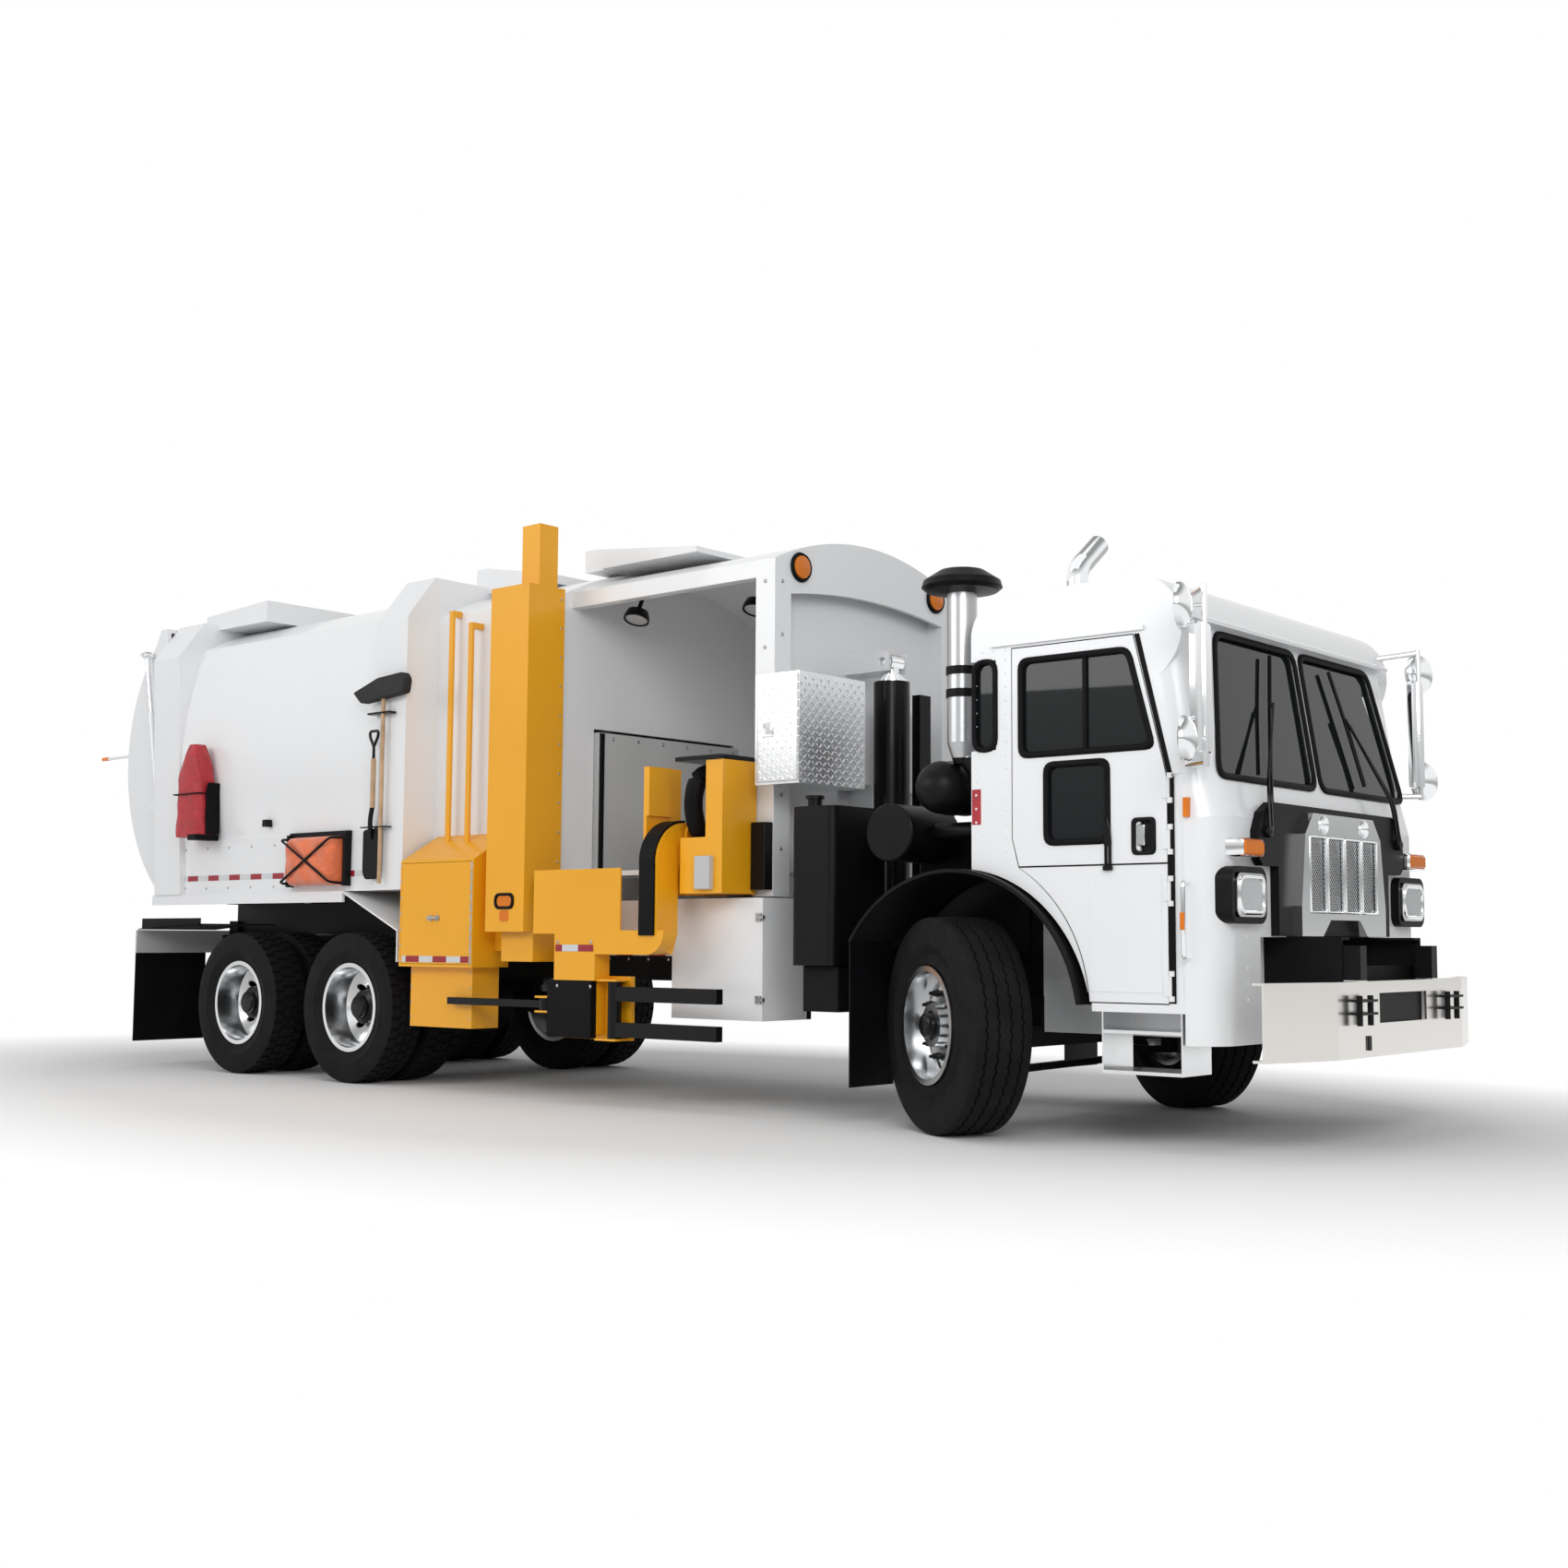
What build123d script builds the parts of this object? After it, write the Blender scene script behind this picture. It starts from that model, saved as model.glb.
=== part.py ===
"""Side loading refuse truck: low cab, tipping body, packer, tailgate and a side arm.

All sizes are in millimetres. +X points to the front of the truck, +Y to its left and +Z up.
The origin lies on the ground, in the middle of the truck's length and width.
The truck is drawn as it stands in the photograph, with its front wheels steered to the right.
"""

import math
import os

from build123d import *

os.makedirs("parts", exist_ok=True)

# Overall sizes
overall_length = 10600
front_overhang = 1900
wheelbase = 5765
tandem_spacing = 1347
running_gap = 8
pin_gap = 0.5

# Wheels and tyres
front_tyre_radius = 550
front_tyre_width = 335
front_bead_share = 0.94
rear_tyre_radius = 510
rear_tyre_width = 270
rear_bead_share = 0.72
rim_radius = 286
rim_flange_radius = 300
rim_wall = 14
front_track_half = 1105
kingpin_half = 960
dual_outer_y = 1085
dual_inner_y = 745
steer_at_rest = -28.35
spindle_radius = 45

# Chassis
rail_height = 280
rail_width = 85
rail_spacing_half = 430
rail_web = 10
rail_flange = 12
rail_top = 1000
rail_front = 5140
rail_rear = -4440
tip_pivot_x = -4250
tip_pivot_z = 1062
tip_shaft_radius = 30
hoist_x = 2060
hoist_foot_z = 900
hoist_eye_z = 2660

# Cab
cab_half_width = 1170
cab_rear = 3490
cab_front = 4860
cab_skirt = 500
cab_roof = 2720
cab_wall = 45
cab_front_break = 1560
windshield_bottom = 1735
windshield_top = 2470
windshield_lean = 120
cab_corner_radius = 170
arch_radius = 790
floor_height = 1400
well_floor = 690
tunnel_half = 520
engine_bay_half = 480
glass_depth = 14
glass_thickness = 8

# Doors
door_gap = 6
door_rear = 3740
door_front = 4605
door_top = 2430
door_bottom = 690
door_seam = 1340
door_lean = 174
hinge_radius = 9
hinge_x = 4614
hinge_out = 1172

# Hopper and container of the tipping body
hopper_half = 880
hopper_front = 1890
hopper_rear = 150
hopper_wall = 30
hopper_floor = 1400
hopper_wall_x = 1770
hopper_eaves = 3190
arch_crown = 3390
container_half = 1220
container_rear = -4290
container_shoulder = -1080
container_floor = 1300
container_top = 3480
container_wall = 30
container_lean = 130
neck_half = 985
column_half = 1240
subframe_bottom = rail_top + running_gap
subframe_outer = 460
subframe_inner = 385
boom_bottom = 1225
boom_rear_x = 1300
boom_front_x = 1520

# Lift column and arm
column_face = 1280
column_rear = -166
column_front = 196
column_bottom = 1022
column_top = 3190
arm_x = 1300
arm_width = 150
arm_pivot_y = -1000
arm_pivot_z = 1580
arm_face = 1300
finger_y = 1235
finger_pin_rear = 370
finger_pin_front = 970

# Tailgate
tailgate_half = 1120
tailgate_wall = 30
tailgate_hinge_x = -4250
tailgate_hinge_z = 3520
cylinder_y = 1175
barrel_foot = (-4255, 1990)
rod_eye = (-4505, 3200)

front_axle = overall_length / 2 - front_overhang
tandem = front_axle - wheelbase
second_axle = tandem + tandem_spacing / 2
third_axle = tandem - tandem_spacing / 2
rail_bottom = rail_top - rail_height
cradle_top = rail_bottom + 80
web_face = rail_spacing_half + rail_width / 2 - rail_web


def save(name, piece):
    """Label a finished piece and write it to its own file."""
    piece.part.label = name
    export_step(piece.part, os.path.join("parts", name + ".step"))


def turned(x, y, angle):
    """Turn a point in plan about the origin by an angle in degrees."""
    cos_a = math.cos(math.radians(angle))
    sin_a = math.sin(math.radians(angle))
    return (x * cos_a - y * sin_a, x * sin_a + y * cos_a)


def wheel_plane(x, y, z, side, steer=0):
    """Plane at a wheel centre: its normal is the axle, pointing out of the truck."""
    out = turned(0, side, steer)
    forward = turned(1, 0, steer)
    return Plane(origin=(x, y, z), x_dir=(forward[0], forward[1], 0), z_dir=(out[0], out[1], 0))


def front_wheel_centre(side):
    """Centre of a front tyre, carried out from its kingpin by the steered spindle."""
    shift = turned(0, side * (front_track_half - kingpin_half), steer_at_rest)
    return (front_axle + shift[0], side * kingpin_half + shift[1], front_tyre_radius)


def box(x0, x1, y0, y1, z0, z1, mode=Mode.ADD):
    """A block between two corners, given in any order, in the builder that is open."""
    with Locations(((x0 + x1) / 2, (y0 + y1) / 2, (z0 + z1) / 2)):
        Box(abs(x1 - x0), abs(y1 - y0), abs(z1 - z0), mode=mode)


def rod_along(axis, start, length, radius, mode=Mode.ADD):
    """A round bar from a start point along +X, +Y or +Z, in the builder that is open."""
    turns = {"x": (0, 90, 0), "y": (-90, 0, 0), "z": (0, 0, 0)}
    with Locations(Location(start, turns[axis])):
        Cylinder(radius, length, align=(Align.CENTER, Align.CENTER, Align.MIN), mode=mode)


def strut(start, end, radius, mode=Mode.ADD):
    """A round bar between two points, in the builder that is open."""
    start = Vector(*start)
    along = Vector(*end) - start
    with Locations(Plane(origin=start, z_dir=along).location):
        Cylinder(radius, along.length, align=(Align.CENTER, Align.CENTER, Align.MIN), mode=mode)


def outline(points, round_off=0, grow=0):
    """A closed outline through points in a plane, with its corners rounded, then made larger."""
    with BuildSketch() as face:
        with BuildLine():
            Polyline(*points, close=True)
        make_face()
        if round_off:
            fillet(face.vertices(), radius=round_off)
        if grow:
            offset(amount=grow)
    return face.sketch_local


def side_plane(y):
    """Plane of the truck's side at a distance y, its X along the truck and its Y up."""
    return Plane.XZ.offset(-y)


def cross_plane(x):
    """Plane across the truck at a distance x, its X to the left and its Y up."""
    return Plane.YZ.offset(x)


# Chassis frame: two channel rails, cross members, hoist cradle and tipping shaft
with BuildPart() as chassis_frame:
    for side in (-1, 1):
        rail_outer = side * (rail_spacing_half + rail_width / 2)
        rail_inner = side * (rail_spacing_half - rail_width / 2)
        box(rail_rear, rail_front, rail_inner, rail_outer, rail_bottom, rail_top)
        box(rail_rear - 1, rail_front + 1, rail_inner - side, side * web_face,
            rail_bottom + rail_flange, rail_top - rail_flange, mode=Mode.SUBTRACT)
        box(tip_pivot_x - 60, tip_pivot_x + 60, rail_outer, rail_outer + side * 20,
            rail_top - 150, tip_pivot_z + 50)
        box(hoist_x - 70, hoist_x + 70, side * 125, side * 150, rail_bottom + 15, hoist_foot_z + 50)
    for member_x in (-4300, -3700, -2365, -1000, -200, 1200, 2500):
        box(member_x - 60, member_x + 60, -web_face, web_face, rail_bottom + 40, rail_top - 60)
    box(rail_front - 120, rail_front - 40, -web_face, web_face, rail_bottom + 20, rail_top - 140)
    box(hoist_x - 70, hoist_x + 70, -web_face, web_face, rail_bottom + 15, cradle_top)
    rod_along("y", (tip_pivot_x, -rail_spacing_half - 62, tip_pivot_z),
              2 * (rail_spacing_half + 62), tip_shaft_radius)
    rod_along("y", (hoist_x, -160, hoist_foot_z), 320, 31, mode=Mode.SUBTRACT)
save("chassis_frame", chassis_frame)

# Engine: one plain block between the rails, below the cab's tunnel, and the radiator
with BuildPart() as engine_block:
    box(3150, 4450, -355, 355, 620, 1290)
    fillet(engine_block.edges().filter_by(Axis.X), radius=60)
    box(4560, 4640, -380, 380, 700, 1330)
    for side in (-1, 1):
        for foot_x in (3300, 4250):
            box(foot_x, foot_x + 100, side * 340, side * web_face, 745, 795)
        box(4570, 4630, side * 370, side * web_face, 745, 795)
save("engine_block", engine_block)

# Axles: dropped front beam with its springs, two driven rear axles with their beams
front_beam_z = 470
spring_z = 640
with BuildPart() as axles:
    beam_half = kingpin_half - 52 - pin_gap
    box(front_axle - 50, front_axle + 50, -beam_half, beam_half, front_beam_z - 50, front_beam_z + 60)
    for side in (-1, 1):
        spring_y = side * rail_spacing_half
        box(front_axle - 40, front_axle + 40, spring_y - 38, spring_y + 38, front_beam_z + 55, spring_z)
        box(front_axle - 640, front_axle + 640, spring_y - 38, spring_y + 38, spring_z - 2,
            spring_z + 40)
        for end in (-1, 1):
            pad_x = front_axle + end * 600
            box(pad_x - 30, pad_x + 30, spring_y - 38, spring_y + 38, spring_z + 38, rail_bottom)
        box(third_axle - 80, second_axle + 80, spring_y - 35, spring_y + 35, 640, rail_bottom)
    for axle_x in (second_axle, third_axle):
        rod_along("y", (axle_x, -600, rear_tyre_radius), 1200, 75)
        rod_along("y", (axle_x, -945, rear_tyre_radius), 1890, spindle_radius)
        with Locations((axle_x, 0, rear_tyre_radius)):
            Sphere(205)
        for side in (-1, 1):
            box(axle_x - 60, axle_x + 60, side * rail_spacing_half - 35,
                side * rail_spacing_half + 35, rear_tyre_radius + 40, 645)
save("axles", axles)

# Steering knuckles: kingpin boss, spindle and steering arm, turned with the wheels
steer_arm_length = 250
steer_arm_inset = 150
steer_arm_z = 345
kingpin_radius = 52


def steer_arm_end(side):
    """Where a steering arm meets the tie rod, in plan."""
    reach = turned(-steer_arm_length, -side * steer_arm_inset, steer_at_rest)
    return (front_axle + reach[0], side * kingpin_half + reach[1])


def steer_arm_elbow(side):
    """Where a steering arm turns back, inboard of its tyre, in plan."""
    reach = turned(0, -side * steer_arm_inset, steer_at_rest)
    return (front_axle + reach[0], side * kingpin_half + reach[1])


for side in (-1, 1):
    spindle = wheel_plane(front_axle, side * kingpin_half, front_tyre_radius, side, steer_at_rest)
    with BuildPart() as knuckle:
        rod_along("z", (front_axle, side * kingpin_half, steer_arm_z - 20), 315, kingpin_radius)
        with BuildSketch(spindle):
            Circle(spindle_radius)
        extrude(amount=front_track_half - kingpin_half + 60)
        corners = ((front_axle, side * kingpin_half), steer_arm_elbow(side), steer_arm_end(side))
        for start, end in zip(corners, corners[1:]):
            middle = ((start[0] + end[0]) / 2, (start[1] + end[1]) / 2)
            heading = math.degrees(math.atan2(end[1] - start[1], end[0] - start[0]))
            with BuildSketch(Plane.XY.offset(steer_arm_z - 20)):
                with Locations(Location((*middle, 0), (0, 0, heading))):
                    SlotCenterToCenter(math.dist(start, end), 50)
            extrude(amount=40)
    save("knuckle_left" if side > 0 else "knuckle_right", knuckle)

# Tie rod below the ends of the two steering arms
with BuildPart() as tie_rod:
    rod_z = steer_arm_z - 60
    strut((*steer_arm_end(-1), rod_z), (*steer_arm_end(1), rod_z), 22)
    for side in (-1, 1):
        rod_along("z", (*steer_arm_end(side), rod_z - 25), 65 - pin_gap, 24)
save("tie_rod", tie_rod)


def tyre_profile(radius, width, bore, bead_share):
    """Half section of a tyre: sketch X runs out along the radius, sketch Y along the axle."""
    half = width / 2
    crown = half * 0.9
    shoulder = 34
    bead = half * bead_share
    flange = rim_flange_radius + 1
    waist = (bore + radius) / 2
    with BuildSketch() as section:
        with BuildLine():
            Polyline((flange, -bead), (bore, -bead), (bore, bead), (flange, bead))
            ThreePointArc((flange, bead), (waist, half), (radius - shoulder, crown))
            Polyline((radius - shoulder, crown), (radius, crown - shoulder),
                     (radius, shoulder - crown), (radius - shoulder, -crown))
            ThreePointArc((radius - shoulder, -crown), (waist, -half), (flange, -bead))
        make_face()
    return section.sketch_local


def tyre(plane, offsets, radius, width, bead_share):
    """One tyre for each offset along the axle, as solids of one piece."""
    section = tyre_profile(radius, width, rim_radius, bead_share)
    with BuildPart() as rubber:
        for shift in offsets:
            centre = plane.origin + plane.z_dir * shift
            across = Plane(origin=centre, x_dir=plane.x_dir, z_dir=plane.x_dir.cross(plane.z_dir))
            with BuildSketch(across):
                add(section)
            revolve(axis=Axis(centre, plane.z_dir), revolution_arc=360)
    return rubber


def rim(plane, barrels, width, hub_start, hub_end):
    """Rim barrels with flanges, each on its own coned disc, and one hub bored for the spindle.

    barrels is a table of (centre along the axle, seat of the disc, edge of the disc)."""
    across = Plane(origin=plane.origin, x_dir=plane.x_dir, z_dir=plane.x_dir.cross(plane.z_dir))
    # In this plane, sketch Y runs against the axle
    inner = rim_radius - rim_wall
    with BuildPart() as wheel:
        for centre, seat, edge in barrels:
            low = centre - width / 2
            high = centre + width / 2
            with BuildSketch(across):
                with BuildLine():
                    Polyline((inner, low - 12), (rim_flange_radius, low - 12),
                             (rim_flange_radius, low), (rim_radius, low), (rim_radius, high),
                             (rim_flange_radius, high), (rim_flange_radius, high + 12),
                             (inner, high + 12), close=True)
                make_face()
                with BuildLine():
                    Polyline((100, seat - 8), (175, seat - 8), (inner + 3, edge - 12),
                             (inner + 3, edge + 8), (175, seat + 8), (100, seat + 8), close=True)
                make_face()
            revolve(axis=Axis(plane.origin, plane.z_dir), revolution_arc=360)
        with BuildSketch(plane.offset(hub_start)):
            with PolarLocations(215, 10):
                Circle(25)
        extrude(amount=hub_end - hub_start, mode=Mode.SUBTRACT)
        with BuildSketch(plane.offset(hub_start)):
            Circle(110)
        extrude(amount=hub_end - hub_start)
        with BuildSketch(plane.offset(hub_start - 1)):
            Circle(spindle_radius + pin_gap)
        extrude(amount=hub_end - hub_start - 60, mode=Mode.SUBTRACT)
    return wheel


# Front wheels: one wide tyre each, its rim disc near the outer flange
front_rim_width = front_tyre_width * front_bead_share
for side in (-1, 1):
    end = "left" if side > 0 else "right"
    plane = wheel_plane(*front_wheel_centre(side), side, steer_at_rest)
    save("front_tyre_" + end,
         tyre(plane, (0,), front_tyre_radius, front_tyre_width, front_bead_share))
    save("front_rim_" + end, rim(plane, ((0, 70, 30),), front_rim_width, 0, 140))

# Rear wheels: twin tyres on one hub, their discs back to back between them
rear_rim_width = rear_tyre_width * rear_bead_share
dual_middle = (dual_outer_y + dual_inner_y) / 2
dual_spread = (dual_outer_y - dual_inner_y) / 2
for axle_name, axle_x in (("second", second_axle), ("third", third_axle)):
    for side in (-1, 1):
        end = "left" if side > 0 else "right"
        plane = wheel_plane(axle_x, side * dual_middle, rear_tyre_radius, side)
        save(axle_name + "_tyres_" + end, tyre(plane, (-dual_spread, dual_spread),
                                               rear_tyre_radius, rear_tyre_width, rear_bead_share))
        discs = ((-dual_spread, -8, -100), (dual_spread, 8, 100))
        save(axle_name + "_rims_" + end, rim(plane, discs, rear_rim_width, -40, 140))


def cab_profile(inset, bottom):
    """Side outline of the cab, drawn in by an inset."""
    rear = cab_rear + inset
    front = cab_front - inset
    top = cab_roof - inset
    brow = front - windshield_lean - 45
    with BuildSketch() as profile:
        with BuildLine():
            Polyline((rear, bottom), (front, bottom), (front, cab_front_break),
                     (front - 45, windshield_bottom), (brow, windshield_top))
            ThreePointArc((brow, windshield_top), (brow - 85, top - 70), (brow - 285, top))
            Line((brow - 285, top), (rear + 220, top - 20))
            ThreePointArc((rear + 220, top - 20), (rear + 60, top - 75), (rear, top - 200))
            Line((rear, top - 200), (rear, bottom))
        make_face()
    return profile.sketch_local


def cab_block(inset, bottom):
    """The cab's outer form as one block, drawn in by an inset, with round front corners."""
    half = cab_half_width - inset
    with BuildPart() as block:
        with BuildSketch(side_plane(half)):
            add(cab_profile(inset, bottom))
        extrude(amount=2 * half)
        upright = block.edges().filter_by(lambda e: abs((e % 0.5).Z) > 0.9)
        corners = upright.filter_by_position(Axis.X, cab_front - 300, cab_front + 5)
        fillet(corners, radius=cab_corner_radius - inset)
    return block.part


def door_outline(kind, grow=0):
    """Side outline of a door: the upper half, the lower half or the whole of it."""
    front_edge = [(door_front, windshield_bottom + 5), (door_front - door_lean, door_top)]
    rear_edge = [(door_rear, door_top), (door_rear, 1480), (door_rear + 38, door_seam)]
    half_seam = 4
    with BuildSketch() as shape:
        with BuildLine():
            if kind == "upper":
                Polyline((door_front, door_seam + half_seam), *front_edge, *rear_edge[:2],
                         (door_rear + 38, door_seam + half_seam), close=True)
            else:
                top = door_seam if kind == "whole" else door_seam - half_seam
                ThreePointArc((door_rear + 38, top), (4045, 1090), (4178, door_bottom))
                Polyline((4178, door_bottom), (door_front, door_bottom), (door_front, top))
                if kind == "whole":
                    Polyline((door_front, top), *front_edge, *rear_edge)
                else:
                    Line((door_front, top), (door_rear + 38, top))
        make_face()
        if grow:
            offset(amount=grow)
    return shape.sketch_local


upper_window = ((3790, 1890), (4535, 1890), (4405, 2365), (3790, 2365))
lower_window = ((3937, 1453), (4288, 1453), (4288, 1838), (3937, 1838))


def windshield_pane(side, shrink):
    """Outline of one half of the windshield, across the truck."""
    points = ((30 + shrink, 1745 + shrink), (1060 - shrink, 1745 + shrink),
              (870 - shrink, 2455 - shrink), (30 + shrink, 2455 - shrink))
    return outline([(side * y, z) for y, z in points], round_off=70)


cab_outer = cab_block(0, cab_skirt)

# Cab shell: hollowed block with its door openings, windows, wheel arches and engine bay
quarter_window = (1930, 2385)
with BuildPart() as cab_shell:
    add(cab_outer)
    add(cab_block(cab_wall, floor_height), mode=Mode.SUBTRACT)
    for side in (-1, 1):
        outer = side * (cab_half_width + 100)
        wall = side * (cab_half_width - cab_wall)
        well = side * (tunnel_half + 30)
        box(4230, cab_front - 120, well, wall, well_floor, floor_height + 10, mode=Mode.SUBTRACT)
        with BuildSketch(side_plane(outer)):
            with Locations((front_axle, front_tyre_radius)):
                Circle(arch_radius)
        extrude(amount=abs(outer) - engine_bay_half - 40, dir=(0, -side, 0), mode=Mode.SUBTRACT)
        box(4190, 4690, side * (tunnel_half - 5), outer, 0, well_floor - 45, mode=Mode.SUBTRACT)
        box(front_axle, 4190, side * (tunnel_half - 5), outer, 0, well_floor, mode=Mode.SUBTRACT)
        with BuildSketch(side_plane(outer)):
            add(door_outline("whole", door_gap))
        extrude(amount=abs(outer) - cab_half_width + cab_wall + 20, dir=(0, -side, 0),
                mode=Mode.SUBTRACT)
        box(door_front, door_front + 83, side * (cab_half_width - 10), outer, door_bottom,
            windshield_bottom + 20, mode=Mode.SUBTRACT)
        box(cab_rear - 10, 3642, side * 1055, outer, *quarter_window, mode=Mode.SUBTRACT)
        box(cab_rear - 10, cab_rear + 60, side * 300, side * 850, *quarter_window,
            mode=Mode.SUBTRACT)
        with BuildSketch(cross_plane(4500)):
            add(windshield_pane(side, 0))
        extrude(amount=500, mode=Mode.SUBTRACT)
    box(cab_rear - 50, cab_front + 50, -engine_bay_half, engine_bay_half, 0, 1345,
        mode=Mode.SUBTRACT)
    box(4740, cab_front + 50, -750, 750, 0, 1000, mode=Mode.SUBTRACT)
    box(4780, cab_front + 50, -420, 420, 990, 1520, mode=Mode.SUBTRACT)
    with BuildSketch(side_plane(1055)):
        add(outline(((4640, 2530), (4745, 2480), (4752, 2495), (4640, 2565))))
    extrude(amount=2 * 1055)
    for side in (-1, 1):
        box(3616, 4496, side * (cab_half_width - 5), side * (cab_half_width + 18), 2448, 2470)
        for pin_z in (770, 1210, 1450, 1690):
            for end in (-1, 1):
                start_z = pin_z + end * (45 + pin_gap)
                box(hinge_x - 1, hinge_x + 22, side * (cab_half_width - 12), side * (hinge_out + 9),
                    start_z, start_z + end * 25)
save("cab_shell", cab_shell)

# Cab glass: panes that follow the cab's outer form, a little below its surface
with BuildPart() as cab_glass:
    for side in (-1, 1):
        with BuildSketch(cross_plane(4500)):
            add(windshield_pane(side, 0))
        extrude(amount=500)
        box(cab_rear - 10, 3642, side * 1055, side * (cab_half_width + 50), *quarter_window)
        box(cab_rear - 10, cab_rear + 60, side * 300, side * 850, *quarter_window)
    add(cab_block(glass_depth, cab_skirt), mode=Mode.INTERSECT)
    add(cab_block(glass_depth + glass_thickness, cab_skirt + 1), mode=Mode.SUBTRACT)
save("cab_glass", cab_glass)


def door(side, kind):
    """A door as thick as the cab wall, with its windows cut and its hinge barrels."""
    with BuildPart() as leaf:
        with BuildSketch(side_plane(side * cab_half_width)):
            add(door_outline(kind))
        extrude(amount=cab_wall, dir=(0, -side, 0))
        if kind != "lower":
            for window in (upper_window, lower_window):
                with BuildSketch(side_plane(side * (cab_half_width + 5))):
                    add(outline(window, round_off=45))
                extrude(amount=cab_wall + 10, dir=(0, -side, 0), mode=Mode.SUBTRACT)
            box(4423, 4540, side * (cab_half_width - 22), side * (cab_half_width + 5), 1388, 1552,
                mode=Mode.SUBTRACT)
            box(4440, 4460, side * (cab_half_width - 22), side * (cab_half_width - 2), 1388, 1552)
        pin_heights = {"upper": (1450, 1690), "lower": (770, 1210), "whole": (770, 1210, 1450, 1690)}
        for pin_z in pin_heights[kind]:
            rod_along("z", (hinge_x, side * hinge_out, pin_z - 45), 90, hinge_radius)
            box(door_front - 20, hinge_x, side * (cab_half_width - 2), side * (hinge_out + 6),
                pin_z - 45, pin_z + 45)
    return leaf


# Doors: the right one in two halves, the left one whole
save("right_door_upper", door(-1, "upper"))
save("right_door_lower", door(-1, "lower"))
save("left_door", door(1, "whole"))

# Grille: bright frame with four mesh panels
with BuildPart() as grille:
    half_frame = ((350, 1605), (440, 1500), (490, 1150), (490, 1005), (260, 1005), (170, 1085))
    frame_points = [*half_frame, *[(-y, z) for y, z in reversed(half_frame)]]
    with BuildSketch(cross_plane(4905)):
        add(outline(frame_points))
    extrude(amount=45)
    box(4900, 4960, -400, 400, 1116, 1497, mode=Mode.SUBTRACT)
    for bar_y in (-200, 0, 200):
        box(4910, 4944, bar_y - 10, bar_y + 10, 1110, 1500)
    slat_count = 12
    for row in range(slat_count):
        slat_z = 1116 + 381 * (row + 0.5) / slat_count
        box(4918, 4926, -405, 405, slat_z - 5, slat_z + 5)
save("grille", grille)

# Grille surround: dark shroud with its flared upper corners
with BuildPart() as grille_surround:
    half_shroud = ((700, 1640), (790, 1590), (840, 1500), (840, 1370), (800, 1335), (640, 1335),
                   (640, 1005))
    shroud_points = [*half_shroud, *[(-y, z) for y, z in reversed(half_shroud)]]
    with BuildSketch(cross_plane(cab_front)):
        add(outline(shroud_points))
    extrude(amount=45)
    box(cab_front - 5, cab_front + 50, -415, 415, 1100, 1510, mode=Mode.SUBTRACT)
save("grille_surround", grille_surround)

# Lamp housings: deep dark boxes on the front corners, with a recess for each headlamp
lamp_row = (1060, 1325)
with BuildPart() as lamp_housings:
    for side in (-1, 1):
        box(4690, 4905, side * 767, side * 1112, *lamp_row)
    fillet(lamp_housings.edges().filter_by(Axis.X), radius=60)
    add(cab_outer, mode=Mode.SUBTRACT)
    for side in (-1, 1):
        box(4893, 4910, side * 795, side * 1084, lamp_row[0] + 28, lamp_row[1] - 28,
            mode=Mode.SUBTRACT)
save("lamp_housings", lamp_housings)

# Headlamps: the lenses and their bright bezels, seated in the housings
with BuildPart() as headlamps:
    for side in (-1, 1):
        box(4893, 4915, side * 798, side * 1081, lamp_row[0] + 31, lamp_row[1] - 31)
    fillet(headlamps.edges().filter_by(Axis.X), radius=40)
    for side in (-1, 1):
        box(4905, 4920, side * 835, side * 1044, lamp_row[0] + 62, lamp_row[1] - 62,
            mode=Mode.SUBTRACT)
save("headlamps", headlamps)

# Amber lamps: turn signals, side markers and the beacon on the roof
with BuildPart() as amber_lamps:
    for side in (-1, 1):
        box(4690, 4935, side * 860, side * 1055, 1372, 1452)
        box(4700, 4725, side * 1150, side * (cab_half_width + 20), 1550, 1640)
    with Locations((4050, -650, cab_roof - 30)):
        Cylinder(120, 90, align=(Align.CENTER, Align.CENTER, Align.MIN))
    add(cab_outer, mode=Mode.SUBTRACT)
save("amber_lamps", amber_lamps)

# Mirrors: an upright tube on two arms carries a tall mirror and two round ones; grab handles
with BuildPart() as mirrors:
    for side in (-1, 1):
        tube_x = 4850
        tube_y = side * 1240
        rod_along("z", (tube_x, tube_y, 1770), 850, 14)
        strut((4560, side * 1060, 2560), (tube_x, tube_y, 2600), 16)
        strut((4700, side * 1080, 1790), (tube_x, tube_y, 1790), 16)
        box(tube_x - 35, tube_x - 5, tube_y - 75, tube_y + 75, 1835, 2440)
        for round_x, round_z in ((4800, 2500), (4815, 1886)):
            rod_along("x", (round_x - 15, side * 1365, round_z), 30, 112)
            strut((round_x, side * 1365, round_z), (tube_x, tube_y, round_z + 20), 10)
        rod_along("z", (4710, side * 1215, 890), 370, 11)
        for foot_z in (900, 1250):
            rod_along("y", (4710, side * 1190 - 25, foot_z), 50, 11)
    add(cab_outer, mode=Mode.SUBTRACT)
save("mirrors", mirrors)

# Bumper: swept bright plate with turned edges, its brackets and two double pin tow hooks
bumper_bottom = 438
bumper_top = 793
bumper_skin = 12
bumper_centre_x = 5240
bumper_end_x = 5100
bumper_flat_half = 750
bumper_half = 1200


def bumper_plan(depth):
    """Plan outline of the bumper: its swept front edge, made as deep as asked."""
    front = [(bumper_end_x, -bumper_half), (bumper_centre_x, -bumper_flat_half),
             (bumper_centre_x, bumper_flat_half), (bumper_end_x, bumper_half)]
    back = [(x - depth, y) for x, y in reversed(front)]
    return outline([*front, *back])


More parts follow.
